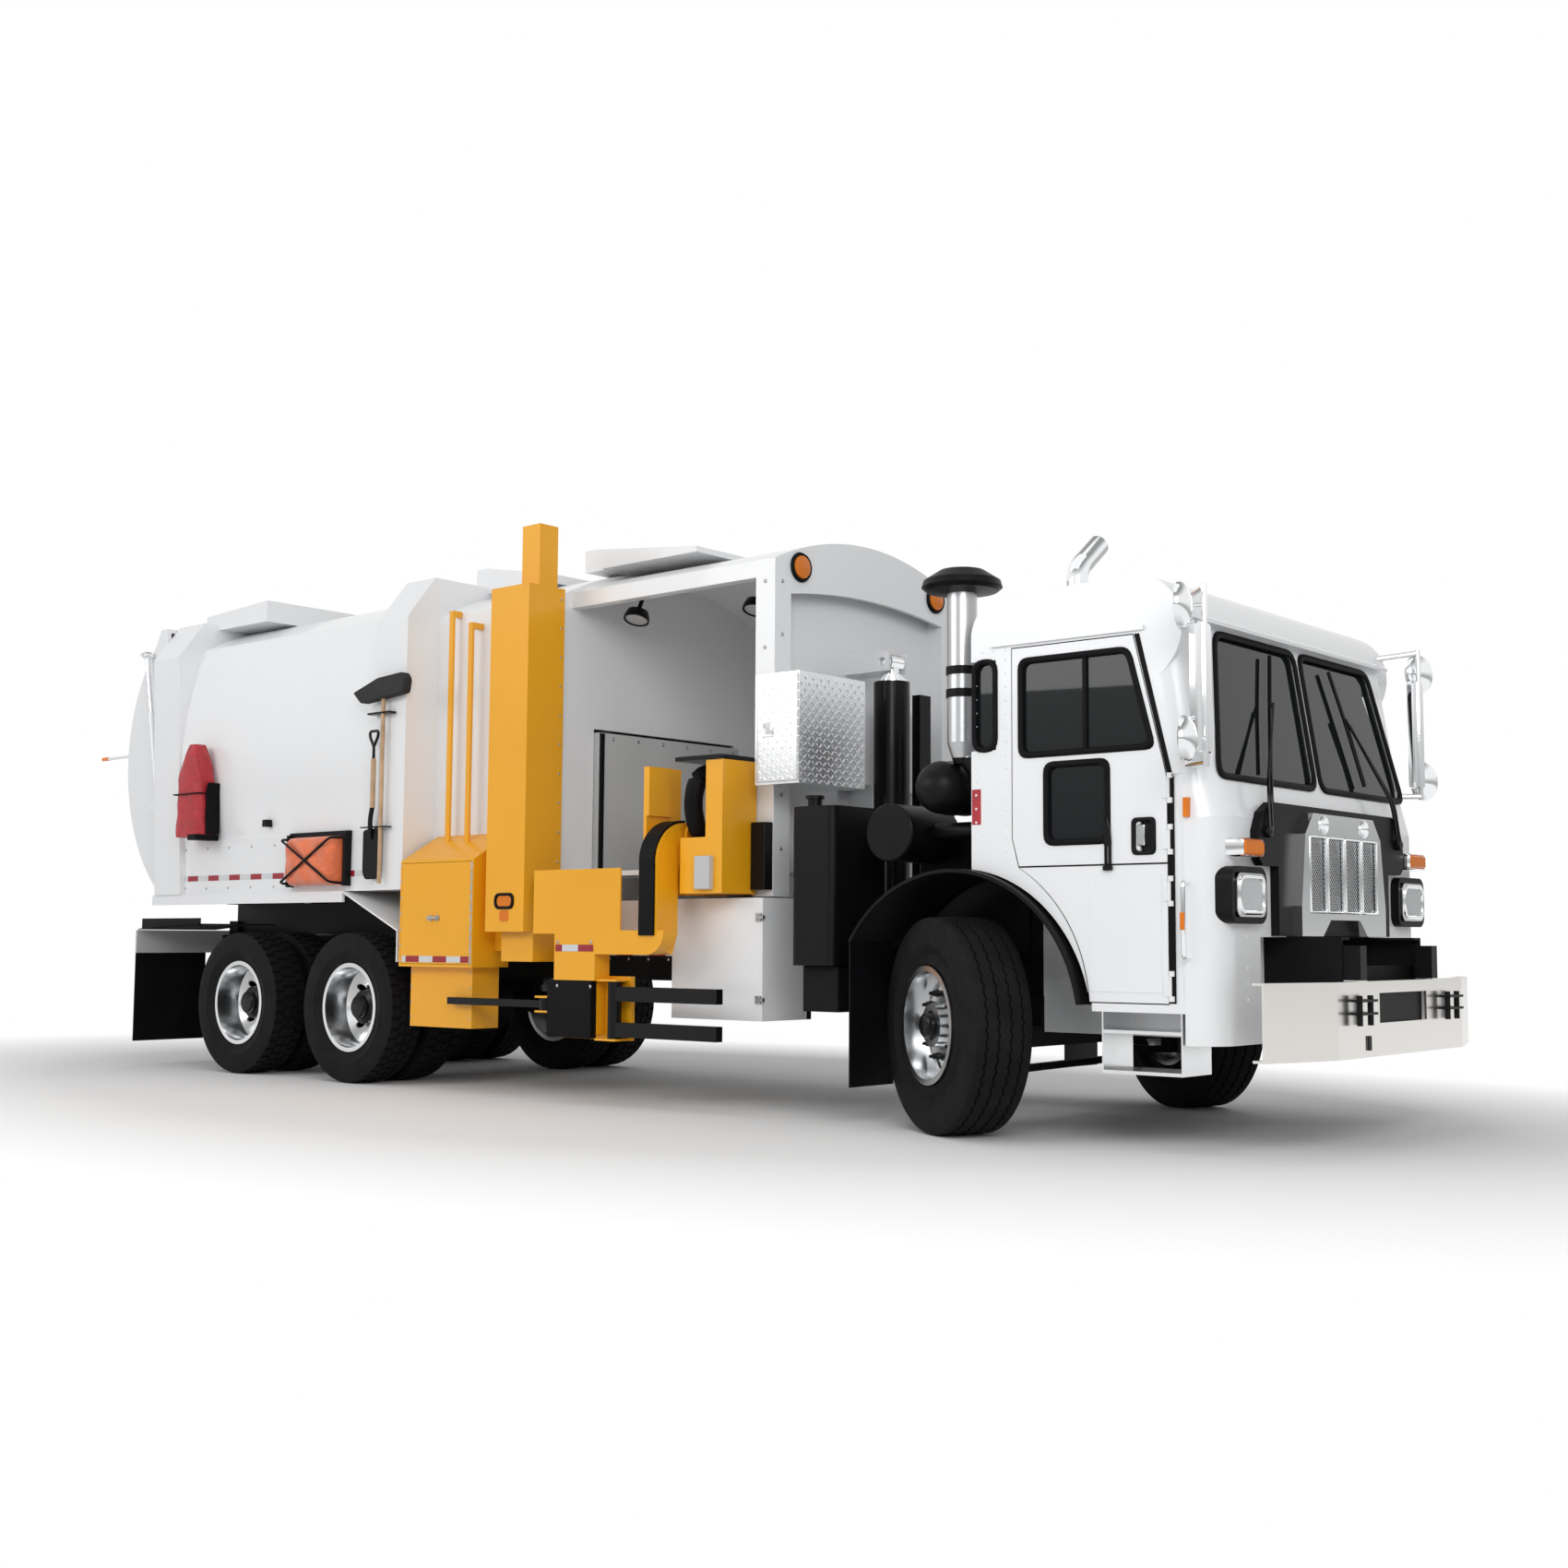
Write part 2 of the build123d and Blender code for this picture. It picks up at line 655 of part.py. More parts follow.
with BuildPart() as front_bumper:
    for depth, start, height in ((bumper_skin, bumper_bottom, bumper_top - bumper_bottom),
                                 (60, bumper_bottom, bumper_skin),
                                 (60, bumper_top - bumper_skin, bumper_skin)):
        with BuildSketch(Plane.XY.offset(start)):
            add(bumper_plan(depth))
        extrude(amount=height)
    box(5150, 5260, -285, 285, 594, 736, mode=Mode.SUBTRACT)
    for side in (-1, 1):
        box(rail_front, bumper_centre_x - bumper_skin, side * 395, side * 465, 500, 960)
        for plate_z in (640, 700):
            box(bumper_centre_x - 4, overall_length / 2, side * 440, side * 620, plate_z, plate_z + 12)
        for pin_y in (470, 590):
            rod_along("z", (5275, side * pin_y, 590), 140, 14)
    box(bumper_centre_x - 4, bumper_centre_x + 8, -435, -400, 470, 538)
save("front_bumper", front_bumper)

# Front fenders: arched plates with mud flaps and brackets from the rails
fender_skin = 18
with BuildPart() as front_fenders:
    for side in (-1, 1):
        with BuildSketch(side_plane(side * 1225)):
            with BuildLine():
                ThreePointArc((2728, 971), (3363, 1338), (4151, 675))
                Line((4151, 675), (4151 - fender_skin, 675))
                ThreePointArc((4151 - fender_skin, 675), (3363, 1338 - fender_skin),
                              (2728 + fender_skin, 971))
                Line((2728 + fender_skin, 971), (2728, 971))
            make_face()
        extrude(amount=605, dir=(0, -side, 0))
        box(2734, 2742, side * 850, side * 1220, 209, 971)
        box(3300, 3380, side * 472.5, side * 486, 860, 1325)
        box(3300, 3380, side * 472.5, side * 800, 1290, 1325)
save("front_fenders", front_fenders)

# Cab steps under the doors
with BuildPart() as cab_steps:
    for side in (-1, 1):
        for tread_z in (357, 545):
            box(4245, 4675, side * 900, side * cab_half_width, tread_z, tread_z + 16)
        for cheek_x in (4245, 4667):
            box(cheek_x, cheek_x + 8, side * 900, side * cab_half_width, 357, well_floor - 45)
save("cab_steps", cab_steps)

# Cab interior: two seats, the dash and two steering wheels
with BuildPart() as cab_interior:
    for side in (-1, 1):
        box(3800, 4200, side * 400, side * 880, floor_height, 1640)
        with BuildSketch(side_plane(side * 880)):
            add(outline(((3820, 1600), (3930, 1600), (3800, 2280), (3700, 2280))))
        extrude(amount=480, dir=(0, -side, 0))
        strut((4690, side * 640, 1600), (4480, side * 640, 1790), 22)
        with Locations(Plane(origin=(4470, side * 640, 1800), z_dir=(-0.74, 0, 0.67)).location):
            Cylinder(60, 24)
            Torus(215, 14)
            for spoke in (0, 60, 120):
                with Locations(Location((0, 0, 0), (0, 0, spoke))):
                    Box(430, 22, 10)
    with BuildSketch(side_plane(985)):
        add(outline(((4600, 1450), (4815, 1450), (4815, 1560), (4776, 1710), (4640, 1710))))
    extrude(amount=1970)
save("cab_interior", cab_interior)

# Tanks: tall oil tank on the right, round fuel tank and battery box on the left, and the post
# that stands beside the hoist on the frame's cradle
with BuildPart() as tanks:
    box(2256, 2560, -1150, -660, 840, 1705)
    fillet(tanks.edges().filter_by(Axis.Z), radius=45)
    rod_along("z", (2340, -1040, 1705), 55, 40)
    rod_along("z", (2340, -1040, 1750), 20, 52)
    rod_along("x", (2000, 860, 640), 700, 270)
    box(1500, 1900, 520, 950, 560, 900)
    box(hoist_x + 10, hoist_x + 70, 190, 300, cradle_top, 2480)
    # Brackets to the rails: start, end, side, inner end, bottom
    for start, end, side, reach, bottom in ((2300, 2350, -1, 700, 850), (2460, 2510, -1, 700, 850),
                                            (2150, 2200, 1, 700, 760), (2480, 2530, 1, 700, 760),
                                            (1560, 1610, 1, 560, 800), (1800, 1850, 1, 560, 800)):
        box(start, end, side * 472.5, side * reach, bottom, bottom + 90)
save("tanks", tanks)

# Exhaust stack: silencer, upright pipe and its bent tip
with BuildPart() as exhaust_stack:
    with BuildLine(Plane.XY) as stack_line:
        FilletPolyline((3350, 60, 1290), (3350, 60, 3080), (3350, 290, 3260), radius=150)
    with BuildSketch(Plane(origin=(3350, 60, 1290), z_dir=(0, 0, 1))):
        Circle(62)
    sweep(path=stack_line.line)
    rod_along("z", (3350, 60, 1500), 800, 120)
save("exhaust_stack", exhaust_stack)

# Air intake: capped snorkel, funnel and duct to the filter can, and the air tank
with BuildPart() as air_intake:
    with BuildSketch(Plane(origin=(3260, -930, 0), x_dir=(1, 0, 0), z_dir=(0, -1, 0))):
        with BuildLine():
            Polyline((0, 1900), (45, 1900), (80, 2010), (80, 2800), (190, 2815), (215, 2835),
                     (205, 2870), (120, 2925), (0, 2930), close=True)
        make_face()
    revolve(axis=Axis((3260, -930, 0), (0, 0, 1)), revolution_arc=360)
    strut((3260, -930, 1960), (3375, -890, 1800), 45)
    strut((3375, -890, 1825), (3375, -800, 1550), 45)
    strut((3400, -800, 1560), (2950, -800, 1560), 45)
    rod_along("y", (2850, -1000, 1550), 400, 155)
    rod_along("y", (3150, -960, 1780), 220, 140)
    with Locations((3150, -960, 1780)):
        Sphere(140)
    for post_x, post_top in ((2850, 1600), (3140, 1810)):
        box(post_x - 35, post_x + 35, -470, -410, rail_top, post_top)
        box(post_x - 35, post_x + 35, -780, -410, post_top - 70, post_top)
save("air_intake", air_intake)


def container_section(half):
    """Cross section of the container: upright lower sides, bulged upper sides, arched roof."""
    with BuildSketch() as section:
        with BuildLine():
            Polyline((-half + 25, 1700), (-half + 25, container_floor),
                     (half - 25, container_floor), (half - 25, 1700))
            ThreePointArc((half - 25, 1700), (half, 2350), (half - 200, 3200))
            ThreePointArc((half - 200, 3200), (0, container_top), (200 - half, 3200))
            ThreePointArc((200 - half, 3200), (-half, 2350), (-half + 25, 1700))
        make_face()
    return section.sketch_local


def neck_section(inset):
    """Cross section of the narrow neck between the hopper and the container."""
    half = neck_half - inset
    with BuildSketch() as section:
        with BuildLine():
            Polyline((-half, 3150), (-half, container_floor + inset),
                     (half, container_floor + inset), (half, 3150))
            ThreePointArc((half, 3150), (0, container_top - 60 - inset), (-half, 3150))
        make_face()
    return section.sketch_local


def leaning_face(z, shift=0):
    """X of the container's leaning rear face at a height."""
    return container_rear + shift + container_lean * (3260 - z) / 1920


# Container: thin walls, a narrower neck, ring columns and the fittings on its roof
packer_zone = (-680, 640, hopper_floor - 70, 2330)
with BuildPart() as container_shell:
    for x, shape in ((-1392, column_half), (container_rear - 60, column_half)):
        with BuildSketch(cross_plane(x)):
            add(outline(((shape, 1300), (shape, 3130), (1020, 3420), (-1020, 3420), (-shape, 3130),
                         (-shape, 1300))))
        extrude(amount=315 if x > -2000 else 560)
    with BuildSketch(side_plane(column_half + 10)):
        add(outline(((leaning_face(1290, 360), 1290), (leaning_face(3600, 360), 3600), (-2000, 3600),
                     (-2000, 1290))))
        add(outline(((-4400, 1290), (leaning_face(1290), 1290), (leaning_face(3600), 3600),
                     (-4400, 3600))))
    extrude(amount=2 * column_half + 20, mode=Mode.SUBTRACT)
    with BuildSketch(cross_plane(container_rear - 60)):
        add(container_section(container_half))
    extrude(amount=container_shoulder - container_rear + 60)
    with BuildSketch(side_plane(column_half + 10)):
        add(outline(((-4400, 1290), (leaning_face(1290), 1290), (leaning_face(3600), 3600),
                     (-4400, 3600))))
    extrude(amount=2 * column_half + 20, mode=Mode.SUBTRACT)
    with BuildSketch(cross_plane(container_rear - 100)):
        add(container_section(container_half))
        offset(amount=-container_wall, mode=Mode.REPLACE)
    extrude(amount=container_shoulder - container_rear + 100 - container_wall, mode=Mode.SUBTRACT)
    with BuildSketch(cross_plane(container_shoulder - 1)):
        add(neck_section(0))
    extrude(amount=hopper_rear - container_shoulder + 1)
    with BuildSketch(cross_plane(container_shoulder - container_wall - 5)):
        add(neck_section(container_wall))
    extrude(amount=hopper_rear - container_shoulder + 5, mode=Mode.SUBTRACT)
    box(hopper_rear - 60, hopper_rear + 10, *packer_zone, mode=Mode.SUBTRACT)
    # Roof fittings: rear wedge, front box and the sloping cover over the hopper's mouth,
    # each given by its half width and its side outline
    for half, points in ((900, ((-4130, 3380), (-4109, 3500), (-3278, 3540), (-3278, 3380))),
                         (560, ((-1210, 3380), (-1210, 3561), (-1100, 3561), (-425, 3440), (-425, 3380))),
                         (620, ((-21, 3380), (-21, 3526), (60, 3526), (997, 3425), (997, arch_crown),
                                (hopper_rear, arch_crown), (hopper_rear, 3380)))):
        with BuildSketch(side_plane(half)):
            add(outline(points))
        extrude(amount=2 * half)
    for ear_y in (-640, -560, 560, 640):
        with BuildSketch(side_plane(ear_y + 10)):
            add(outline(((-4300, 3400), (-4290, 3560), (-4210, 3560), (-4150, 3400))))
        extrude(amount=20)
    rod_along("y", (tailgate_hinge_x, -700, tailgate_hinge_z), 1400, 19, mode=Mode.SUBTRACT)
    foot_x, foot_z = barrel_foot
    for side in (-1, 1):
        for ear_y in (1125, 1205):
            box(foot_x - 30, foot_x + 80, side * ear_y, side * (ear_y + 20), foot_z - 38, foot_z + 38)
        box(foot_x + 55, foot_x + 105, side * 1125, side * 1195, foot_z - 38, foot_z + 38)
    rod_along("y", (foot_x, -1230, foot_z), 2460, 18.5, mode=Mode.SUBTRACT)
save("container_shell", container_shell)

# Body frame: tipping rails hinged at the rear, rear fenders, side sills and the white locker
locker = (1190, 1907, 985, 560, 519, 1216)
locker_wall = 20
locker_door_start = 1400
with BuildPart() as body_frame:
    for side in (-1, 1):
        with BuildSketch(side_plane(side * subframe_outer)):
            add(outline(((tip_pivot_x, subframe_bottom), (hopper_front, subframe_bottom),
                         (hopper_front, boom_bottom), (hopper_rear, boom_bottom),
                         (hopper_rear, container_floor), (tip_pivot_x, container_floor))))
        extrude(amount=subframe_outer - subframe_inner, dir=(0, -side, 0))
        rod_along("y", (tip_pivot_x, min(side * subframe_inner, side * subframe_outer), tip_pivot_z),
                  subframe_outer - subframe_inner, 50)
        with BuildSketch(side_plane(side * 1225)):
            add(outline(((-4213, 1300), (-1750, 1300), (-1129, 1035), (-1129, 823), (-1141, 823),
                         (-1141, 1027), (-1755, 1288), (-4213, 1288))))
        extrude(amount=625, dir=(0, -side, 0))
        box(-4213, -1755, side * 1205, side * 1225, 1225, 1295)
        box(-370, locker[0], side * (neck_half - 15), side * neck_half, 880, 1210)
        for brace_x in (-150, 500, 1000):
            box(brace_x, brace_x + 60, side * (neck_half - 10), side * (subframe_outer - 5), 1110, 1190)
        for brace_x in (-4150, -3100, -1900):
            box(brace_x, brace_x + 60, side * 620, side * (subframe_outer - 5), 1240, container_floor)
    rod_along("y", (tip_pivot_x, -480, tip_pivot_z), 960, tip_shaft_radius + pin_gap,
              mode=Mode.SUBTRACT)
    for member_x in (-3900, -3000, -2100, -1200, -300):
        box(member_x - 40, member_x + 40, -subframe_inner - 5, subframe_inner + 5, 1110, 1290)
    rear, front, outer, inner, bottom, top = locker
    box(rear, front, -outer, -inner, bottom, top)
    box(rear + locker_wall, front - locker_wall, -outer + locker_wall, -inner - locker_wall,
        bottom + locker_wall, top - locker_wall, mode=Mode.SUBTRACT)
    box(locker_door_start, front - locker_wall, -outer - 5, -outer + locker_wall + 5,
        bottom + locker_wall, top - locker_wall, mode=Mode.SUBTRACT)
    for hanger_x in (1240, 1780):
        box(hanger_x, hanger_x + 60, -inner - 5, -subframe_outer + 5, 1110, 1190)
save("body_frame", body_frame)

# Locker door: shut in the locker's side, behind the parked gripper
with BuildPart() as locker_door:
    box(locker_door_start, locker[1] - locker_wall, -locker[2], -locker[2] + 18,
        locker[4] + locker_wall, locker[5] - locker_wall)
save("locker_door", locker_door)

# Hopper: floor, left wall, front wall with its recess for the hoist, front frame and arched roof
recess_half = 180
recess_rear = 1568
recess_top = 1950
sheet = 12
with BuildPart() as hopper_shell:
    inner = hopper_half - hopper_wall
    box(hopper_rear, hopper_wall_x, -hopper_half + 10, inner, hopper_floor - 30, hopper_floor)
    box(-1050, hopper_rear, packer_zone[0] + 5, packer_zone[1] - 5, container_floor + container_wall,
        hopper_floor)
    box(hopper_rear, hopper_front, inner, hopper_half, boom_bottom, hopper_eaves)
    box(hopper_wall_x - hopper_wall, hopper_wall_x, -inner, inner, hopper_floor - 30, hopper_eaves)
    box(hopper_rear, hopper_front, -hopper_half, -hopper_half + 80, hopper_eaves - 100, hopper_eaves)
    box(160, 200, -inner, inner, boom_bottom, hopper_floor - 20)
    for side in (-1, 1):
        box(1741, hopper_front, side * 740, side * hopper_half, boom_bottom, hopper_eaves)
        box(1700, 1742, side * 190, side * inner, boom_bottom, hopper_floor - 20)
    with BuildSketch(cross_plane(hopper_rear)):
        with BuildLine():
            ThreePointArc((-hopper_half, hopper_eaves), (0, arch_crown), (hopper_half, hopper_eaves))
            Line((hopper_half, hopper_eaves), (hopper_half - 60, hopper_eaves))
            ThreePointArc((hopper_half - 60, hopper_eaves), (0, arch_crown - hopper_wall),
                          (60 - hopper_half, hopper_eaves))
            Line((60 - hopper_half, hopper_eaves), (-hopper_half, hopper_eaves))
        make_face()
    extrude(amount=hopper_front - hopper_rear)
    with BuildSketch(cross_plane(hopper_front - 30)):
        with BuildLine():
            ThreePointArc((-hopper_half, hopper_eaves), (0, arch_crown), (hopper_half, hopper_eaves))
            Polyline((hopper_half, hopper_eaves), (hopper_half, 3000), (730, 3000))
            ThreePointArc((730, 3000), (0, 3060), (-730, 3000))
            Polyline((-730, 3000), (-hopper_half, 3000), (-hopper_half, hopper_eaves))
        make_face()
    extrude(amount=30)
    box(recess_rear, hopper_wall_x, -recess_half, recess_half, hopper_floor - 30, recess_top)
    box(recess_rear + sheet, hopper_wall_x + 10, -recess_half + sheet, recess_half - sheet,
        hopper_floor - 40, recess_top - sheet, mode=Mode.SUBTRACT)
    box(boom_rear_x, boom_front_x, -870, 860, boom_bottom, hopper_floor - 25)
    box(boom_rear_x + 10, boom_front_x - 10, -880, 870, boom_bottom + 10, hopper_floor - 40,
        mode=Mode.SUBTRACT)
    for side in (-1, 1):
        box(hopper_wall_x - 5, hoist_x + 50, side * 78, side * 98, hoist_eye_z - 60, hoist_eye_z + 60)
    rod_along("y", (hoist_x, -110, hoist_eye_z), 220, 26, mode=Mode.SUBTRACT)
    box(hopper_wall_x - 5, hopper_wall_x + 110, 250, 620, 1900, 2400)
save("hopper_shell", hopper_shell)

# Toolbox on the hopper's front frame, and its door, hinged at its front edge
toolbox_size = (hopper_front, 2220, 1040, 456, 1850, 2480)
toolbox_wall = 15
with BuildPart() as toolbox:
    rear, front, outer, inner, bottom, top = toolbox_size
    box(rear, front, -outer, -inner, bottom, top)
    box(rear + toolbox_wall, front - toolbox_wall, -outer - 5, -inner - toolbox_wall,
        bottom + toolbox_wall, top - toolbox_wall, mode=Mode.SUBTRACT)
save("toolbox", toolbox)

with BuildPart() as toolbox_door:
    box(rear + toolbox_wall + 3, front - toolbox_wall - pin_gap, -outer, -outer + 14,
        bottom + toolbox_wall + 3, top - toolbox_wall - 3)
save("toolbox_door", toolbox_door)

# Lift column: boxed mast with its narrow head, tall bars and the yellow locker behind it
yellow_locker = (-1034, -288, 1280, 797, 1485)
with BuildPart() as lift_column:
    box(column_rear, column_front, -column_face, -neck_half, column_bottom, column_top)
    box(column_rear + 16, column_front - 16, -column_face + 16, -neck_half + 5, column_bottom - 5,
        column_top - 16, mode=Mode.SUBTRACT)
    box(30, column_front, -1200, -1050, column_top - 5, 3580)
    box(-101, column_front, -1200, -neck_half, 838, column_bottom + 10)
    rear, front, outer, bottom, top = yellow_locker
    box(rear, front, -outer, -neck_half, bottom, top)
    with BuildSketch(cross_plane(rear)):
        add(outline(((-outer, top - 5), (-neck_half, top - 5), (-neck_half, 1660))))
    extrude(amount=front - rear)
    box(rear + 16, front - 16, -outer - 5, -neck_half - 16, bottom + 16, top - 16, mode=Mode.SUBTRACT)
    box(-1006, -378, -1200, -neck_half, 409, bottom + 5)
    box(front - 5, column_rear + 5, -1100, -neck_half, 900, 1450)
    # Tall bars: rear, outer face, top
    for bar_x, bar_y, bar_top in ((-866, -1060, 3160), (-640, -1080, 3055)):
        box(bar_x, bar_x + 40, bar_y, bar_y + 18, 1590, bar_top)
        box(bar_x, bar_x + 40, bar_y, -neck_half, bar_top - 40, bar_top)
save("lift_column", lift_column)

with BuildPart() as lift_locker_door:
    box(rear + 19, front - 16 - pin_gap, -outer, -outer + 14, bottom + 19, top - 19)
save("lift_locker_door", lift_locker_door)

# Packer: hollow ram head that slides on the hopper's floor
packer_front = 200
packer_length = 600
packer_top = 2305
with BuildPart() as packer:
    box(packer_front - packer_length, packer_front, packer_zone[0] + 5, packer_zone[1] - 5,
        hopper_floor + pin_gap, packer_top)
    box(packer_front - packer_length - 10, packer_front - 30, packer_zone[0] + 25,
        packer_zone[1] - 25, hopper_floor + 20, packer_top - 20, mode=Mode.SUBTRACT)
save("packer", packer)


def tailgate_outline(inset):
    """Side outline of the tailgate, drawn in by an inset on all sides but its open front."""
    low = 1346 + inset
    high = 3400 - inset
    front = 30 if inset else 0
    with BuildSketch() as shape:
        with BuildLine():
            Polyline((-4337 - inset / 4, low), (leaning_face(low, front - running_gap), low),
                     (leaning_face(high, front - running_gap), high), (-4400 + inset / 2, high),
                     (-4467 + inset, 3280 - inset / 3))
            ThreePointArc((-4467 + inset, 3280 - inset / 3), (-4834 + inset, 2303),
                          (-4337 - inset / 4, low))
        make_face()
    return shape.sketch_local


# Tailgate: bulged shell open towards the container, hung from two arms on the roof
with BuildPart() as tailgate:
    with BuildSketch(side_plane(tailgate_half)):
        add(tailgate_outline(0))
    extrude(amount=2 * tailgate_half)
    with BuildSketch(side_plane(tailgate_half - tailgate_wall)):
        add(tailgate_outline(tailgate_wall))
    extrude(amount=2 * (tailgate_half - tailgate_wall), mode=Mode.SUBTRACT)
    for side in (-1, 1):
        with BuildSketch(side_plane(side * 600 + 25)):
            add(outline(((-4430, 3360), (-4316, 3385), (-4306, 3440), (-4232, 3480), (-4222, 3520),
                         (-4240, 3550), (-4300, 3555), (-4440, 3430))))
        extrude(amount=50)
        rod_along("y", (tailgate_hinge_x, side * 600 - 55, tailgate_hinge_z), 110, 18.5)
    rod_along("x", (-overall_length / 2, -1080, 2430), 500, 12)
save("tailgate", tailgate)

# Tailgate cylinders: barrels pinned to the container, rods towards the tailgate's sides
cylinder_span = math.dist(barrel_foot, rod_eye)
cylinder_way = ((rod_eye[0] - barrel_foot[0]) / cylinder_span,
                (rod_eye[1] - barrel_foot[1]) / cylinder_span)
barrel_radius = 29
rod_radius = 18


def along_cylinder(side, distance):
    """Point on the axis of a tailgate cylinder, at a distance from its lower pin."""
    return (barrel_foot[0] + cylinder_way[0] * distance, side * cylinder_y,
            barrel_foot[1] + cylinder_way[1] * distance)


with BuildPart() as tailgate_barrels:
    for side in (-1, 1):
        rod_along("y", (foot_x, side * cylinder_y - 25, foot_z), 50, 30)
        strut(along_cylinder(side, 20), along_cylinder(side, 760), barrel_radius)
        strut(along_cylinder(side, 100), along_cylinder(side, 770), rod_radius + pin_gap,
              mode=Mode.SUBTRACT)
        rod_along("y", (foot_x, side * cylinder_y - 48, foot_z), 96, 18)
save("tailgate_barrels", tailgate_barrels)

with BuildPart() as tailgate_rods:
    for side in (-1, 1):
        strut(along_cylinder(side, 120), along_cylinder(side, cylinder_span), rod_radius)
        rod_along("y", (rod_eye[0], side * cylinder_y - 25, rod_eye[1]), 50, 30)
        rod_along("y", (rod_eye[0], side * cylinder_y - 50 + 2 * (side > 0), rod_eye[1]), 98, 16)
save("tailgate_rods", tailgate_rods)

# Hoist: casing on its foot pin and three nested stages, the last with the top eye
stage_radii = (110, 92, 76, 60)
stage_bottom = 950
stage_top = 2540
with BuildPart() as hoist_casing:
    rod_along("y", (hoist_x, -115, hoist_foot_z), 230, 55)
    rod_along("y", (hoist_x, -150, hoist_foot_z), 300, 30.5)
    rod_along("z", (hoist_x, 0, hoist_foot_z), stage_top - hoist_foot_z, stage_radii[0])
    rod_along("z", (hoist_x, 0, stage_bottom), stage_top, stage_radii[1] + pin_gap,
              mode=Mode.SUBTRACT)
save("hoist_casing", hoist_casing)

for number in (1, 2, 3):
    with BuildPart() as stage:
        bottom = stage_bottom + 5 * number
        top = stage_top + 15 * number
        rod_along("z", (hoist_x, 0, bottom), top - bottom, stage_radii[number])
        if number < 3:
            rod_along("z", (hoist_x, 0, bottom + 5), top, stage_radii[number + 1] + pin_gap,
                      mode=Mode.SUBTRACT)
        else:
            rod_along("z", (hoist_x, 0, top - 5), hoist_eye_z - top + 5, 45)
            rod_along("y", (hoist_x, -60, hoist_eye_z), 120, 52)
            rod_along("y", (hoist_x, -73, hoist_eye_z), 146, 24)
    save("hoist_stage_" + str(number), stage)

# Arm carriage: head with its pivot lugs on the end of the sliding boom
lug_gap = 10
with BuildPart() as arm_carriage:
    slide = 10 + pin_gap
    box(boom_rear_x + slide, boom_front_x - slide, -900, 735, boom_bottom + slide,
        hopper_floor - 40 - pin_gap)
    box(boom_rear_x + slide + 12, boom_front_x - slide - 12, -880, 740, boom_bottom + slide + 12,
        hopper_floor - 40 - pin_gap - 12, mode=Mode.SUBTRACT)
    box(1135, 1770, -915, -895, 1236, 1470)
    box(1135, 1160, -1180, -895, 1300, 1990)
    box(1640, 1770, -1180, -895, 1240, 2000)
    box(1440, 1645, -1180, -895, 1240, 1560)
    box(1135, 1180, -1180, -1000, 1700, 1990)
    for lug_x, step in ((arm_x - arm_width / 2 - lug_gap, -25), (arm_x + arm_width / 2 + lug_gap, 25)):
        with BuildSketch(cross_plane(lug_x)):
            add(outline(((arm_pivot_y - 60, arm_pivot_z + 40), (-895, arm_pivot_z + 40), (-895, 1240),
                         (-960, 1240))))
            with Locations((arm_pivot_y, arm_pivot_z)):
                Circle(95)
        extrude(amount=step)
    box(1155, arm_x - arm_width / 2 - lug_gap, -960, -895, 1240, 1440)
    box(arm_x + arm_width / 2 + lug_gap, 1450, -960, -895, 1240, 1440)
    rod_along("x", (arm_x - arm_width / 2 - lug_gap - 35, arm_pivot_y, arm_pivot_z),
              arm_width + 2 * lug_gap + 70, 40)
save("arm_carriage", arm_carriage)

# Gooseneck: curved arm, cross beam, guard plate, post and the frame of the gripper
with BuildPart() as gooseneck:
    with BuildSketch(cross_plane(arm_x - arm_width / 2)):
        with BuildLine():
            Polyline((arm_pivot_y, 1505), (arm_pivot_y, 1655), (-1060, 1655))
            ThreePointArc((-1060, 1655), (-1235, 1585), (-arm_face, 1400))
            Line((-arm_face, 1400), (-arm_face, 1050))
            ThreePointArc((-arm_face, 1050), (-1262, 945), (-1170, 892))
            Polyline((-1170, 892), (-1130, 1010), (-1130, 1330))
            ThreePointArc((-1130, 1330), (-1094, 1452), (arm_pivot_y, 1505))
        make_face()
        with Locations((arm_pivot_y, arm_pivot_z)):
            Circle(78)
    extrude(amount=arm_width)
    rod_along("x", (arm_x - 100, arm_pivot_y, arm_pivot_z), 200, 40 + pin_gap, mode=Mode.SUBTRACT)
    with BuildSketch(side_plane(-1200)):
        with BuildLine():
            Polyline((508, 1030), (508, 890), (1290, 890))
            ThreePointArc((1290, 890), (1392, 932), (1434, 1030))
            Line((1434, 1030), (508, 1030))
        make_face()
    extrude(amount=arm_face - 1200)
    box(508, 863, -arm_face, -1180, 735, 1010)
    box(314, 1073, -arm_face, -arm_face + 10, 1010, 1393)
    box(400, 1050, -1180, -1150, 386, 760)
    box(480, 835, -1255, -1175, 420, 745)
    for lug_x0, lug_x1, lug_z in ((850, 1025, 386), (850, 1025, 732), (315, 449, 535), (315, 449, 623)):
        box(lug_x0, lug_x1, -1280, -1150, lug_z, lug_z + 12)
    rod_along("z", (finger_pin_front, -finger_y, 386), 358, 22)
    rod_along("z", (finger_pin_rear, -finger_y, 535), 100, 22)
save("gooseneck", gooseneck)

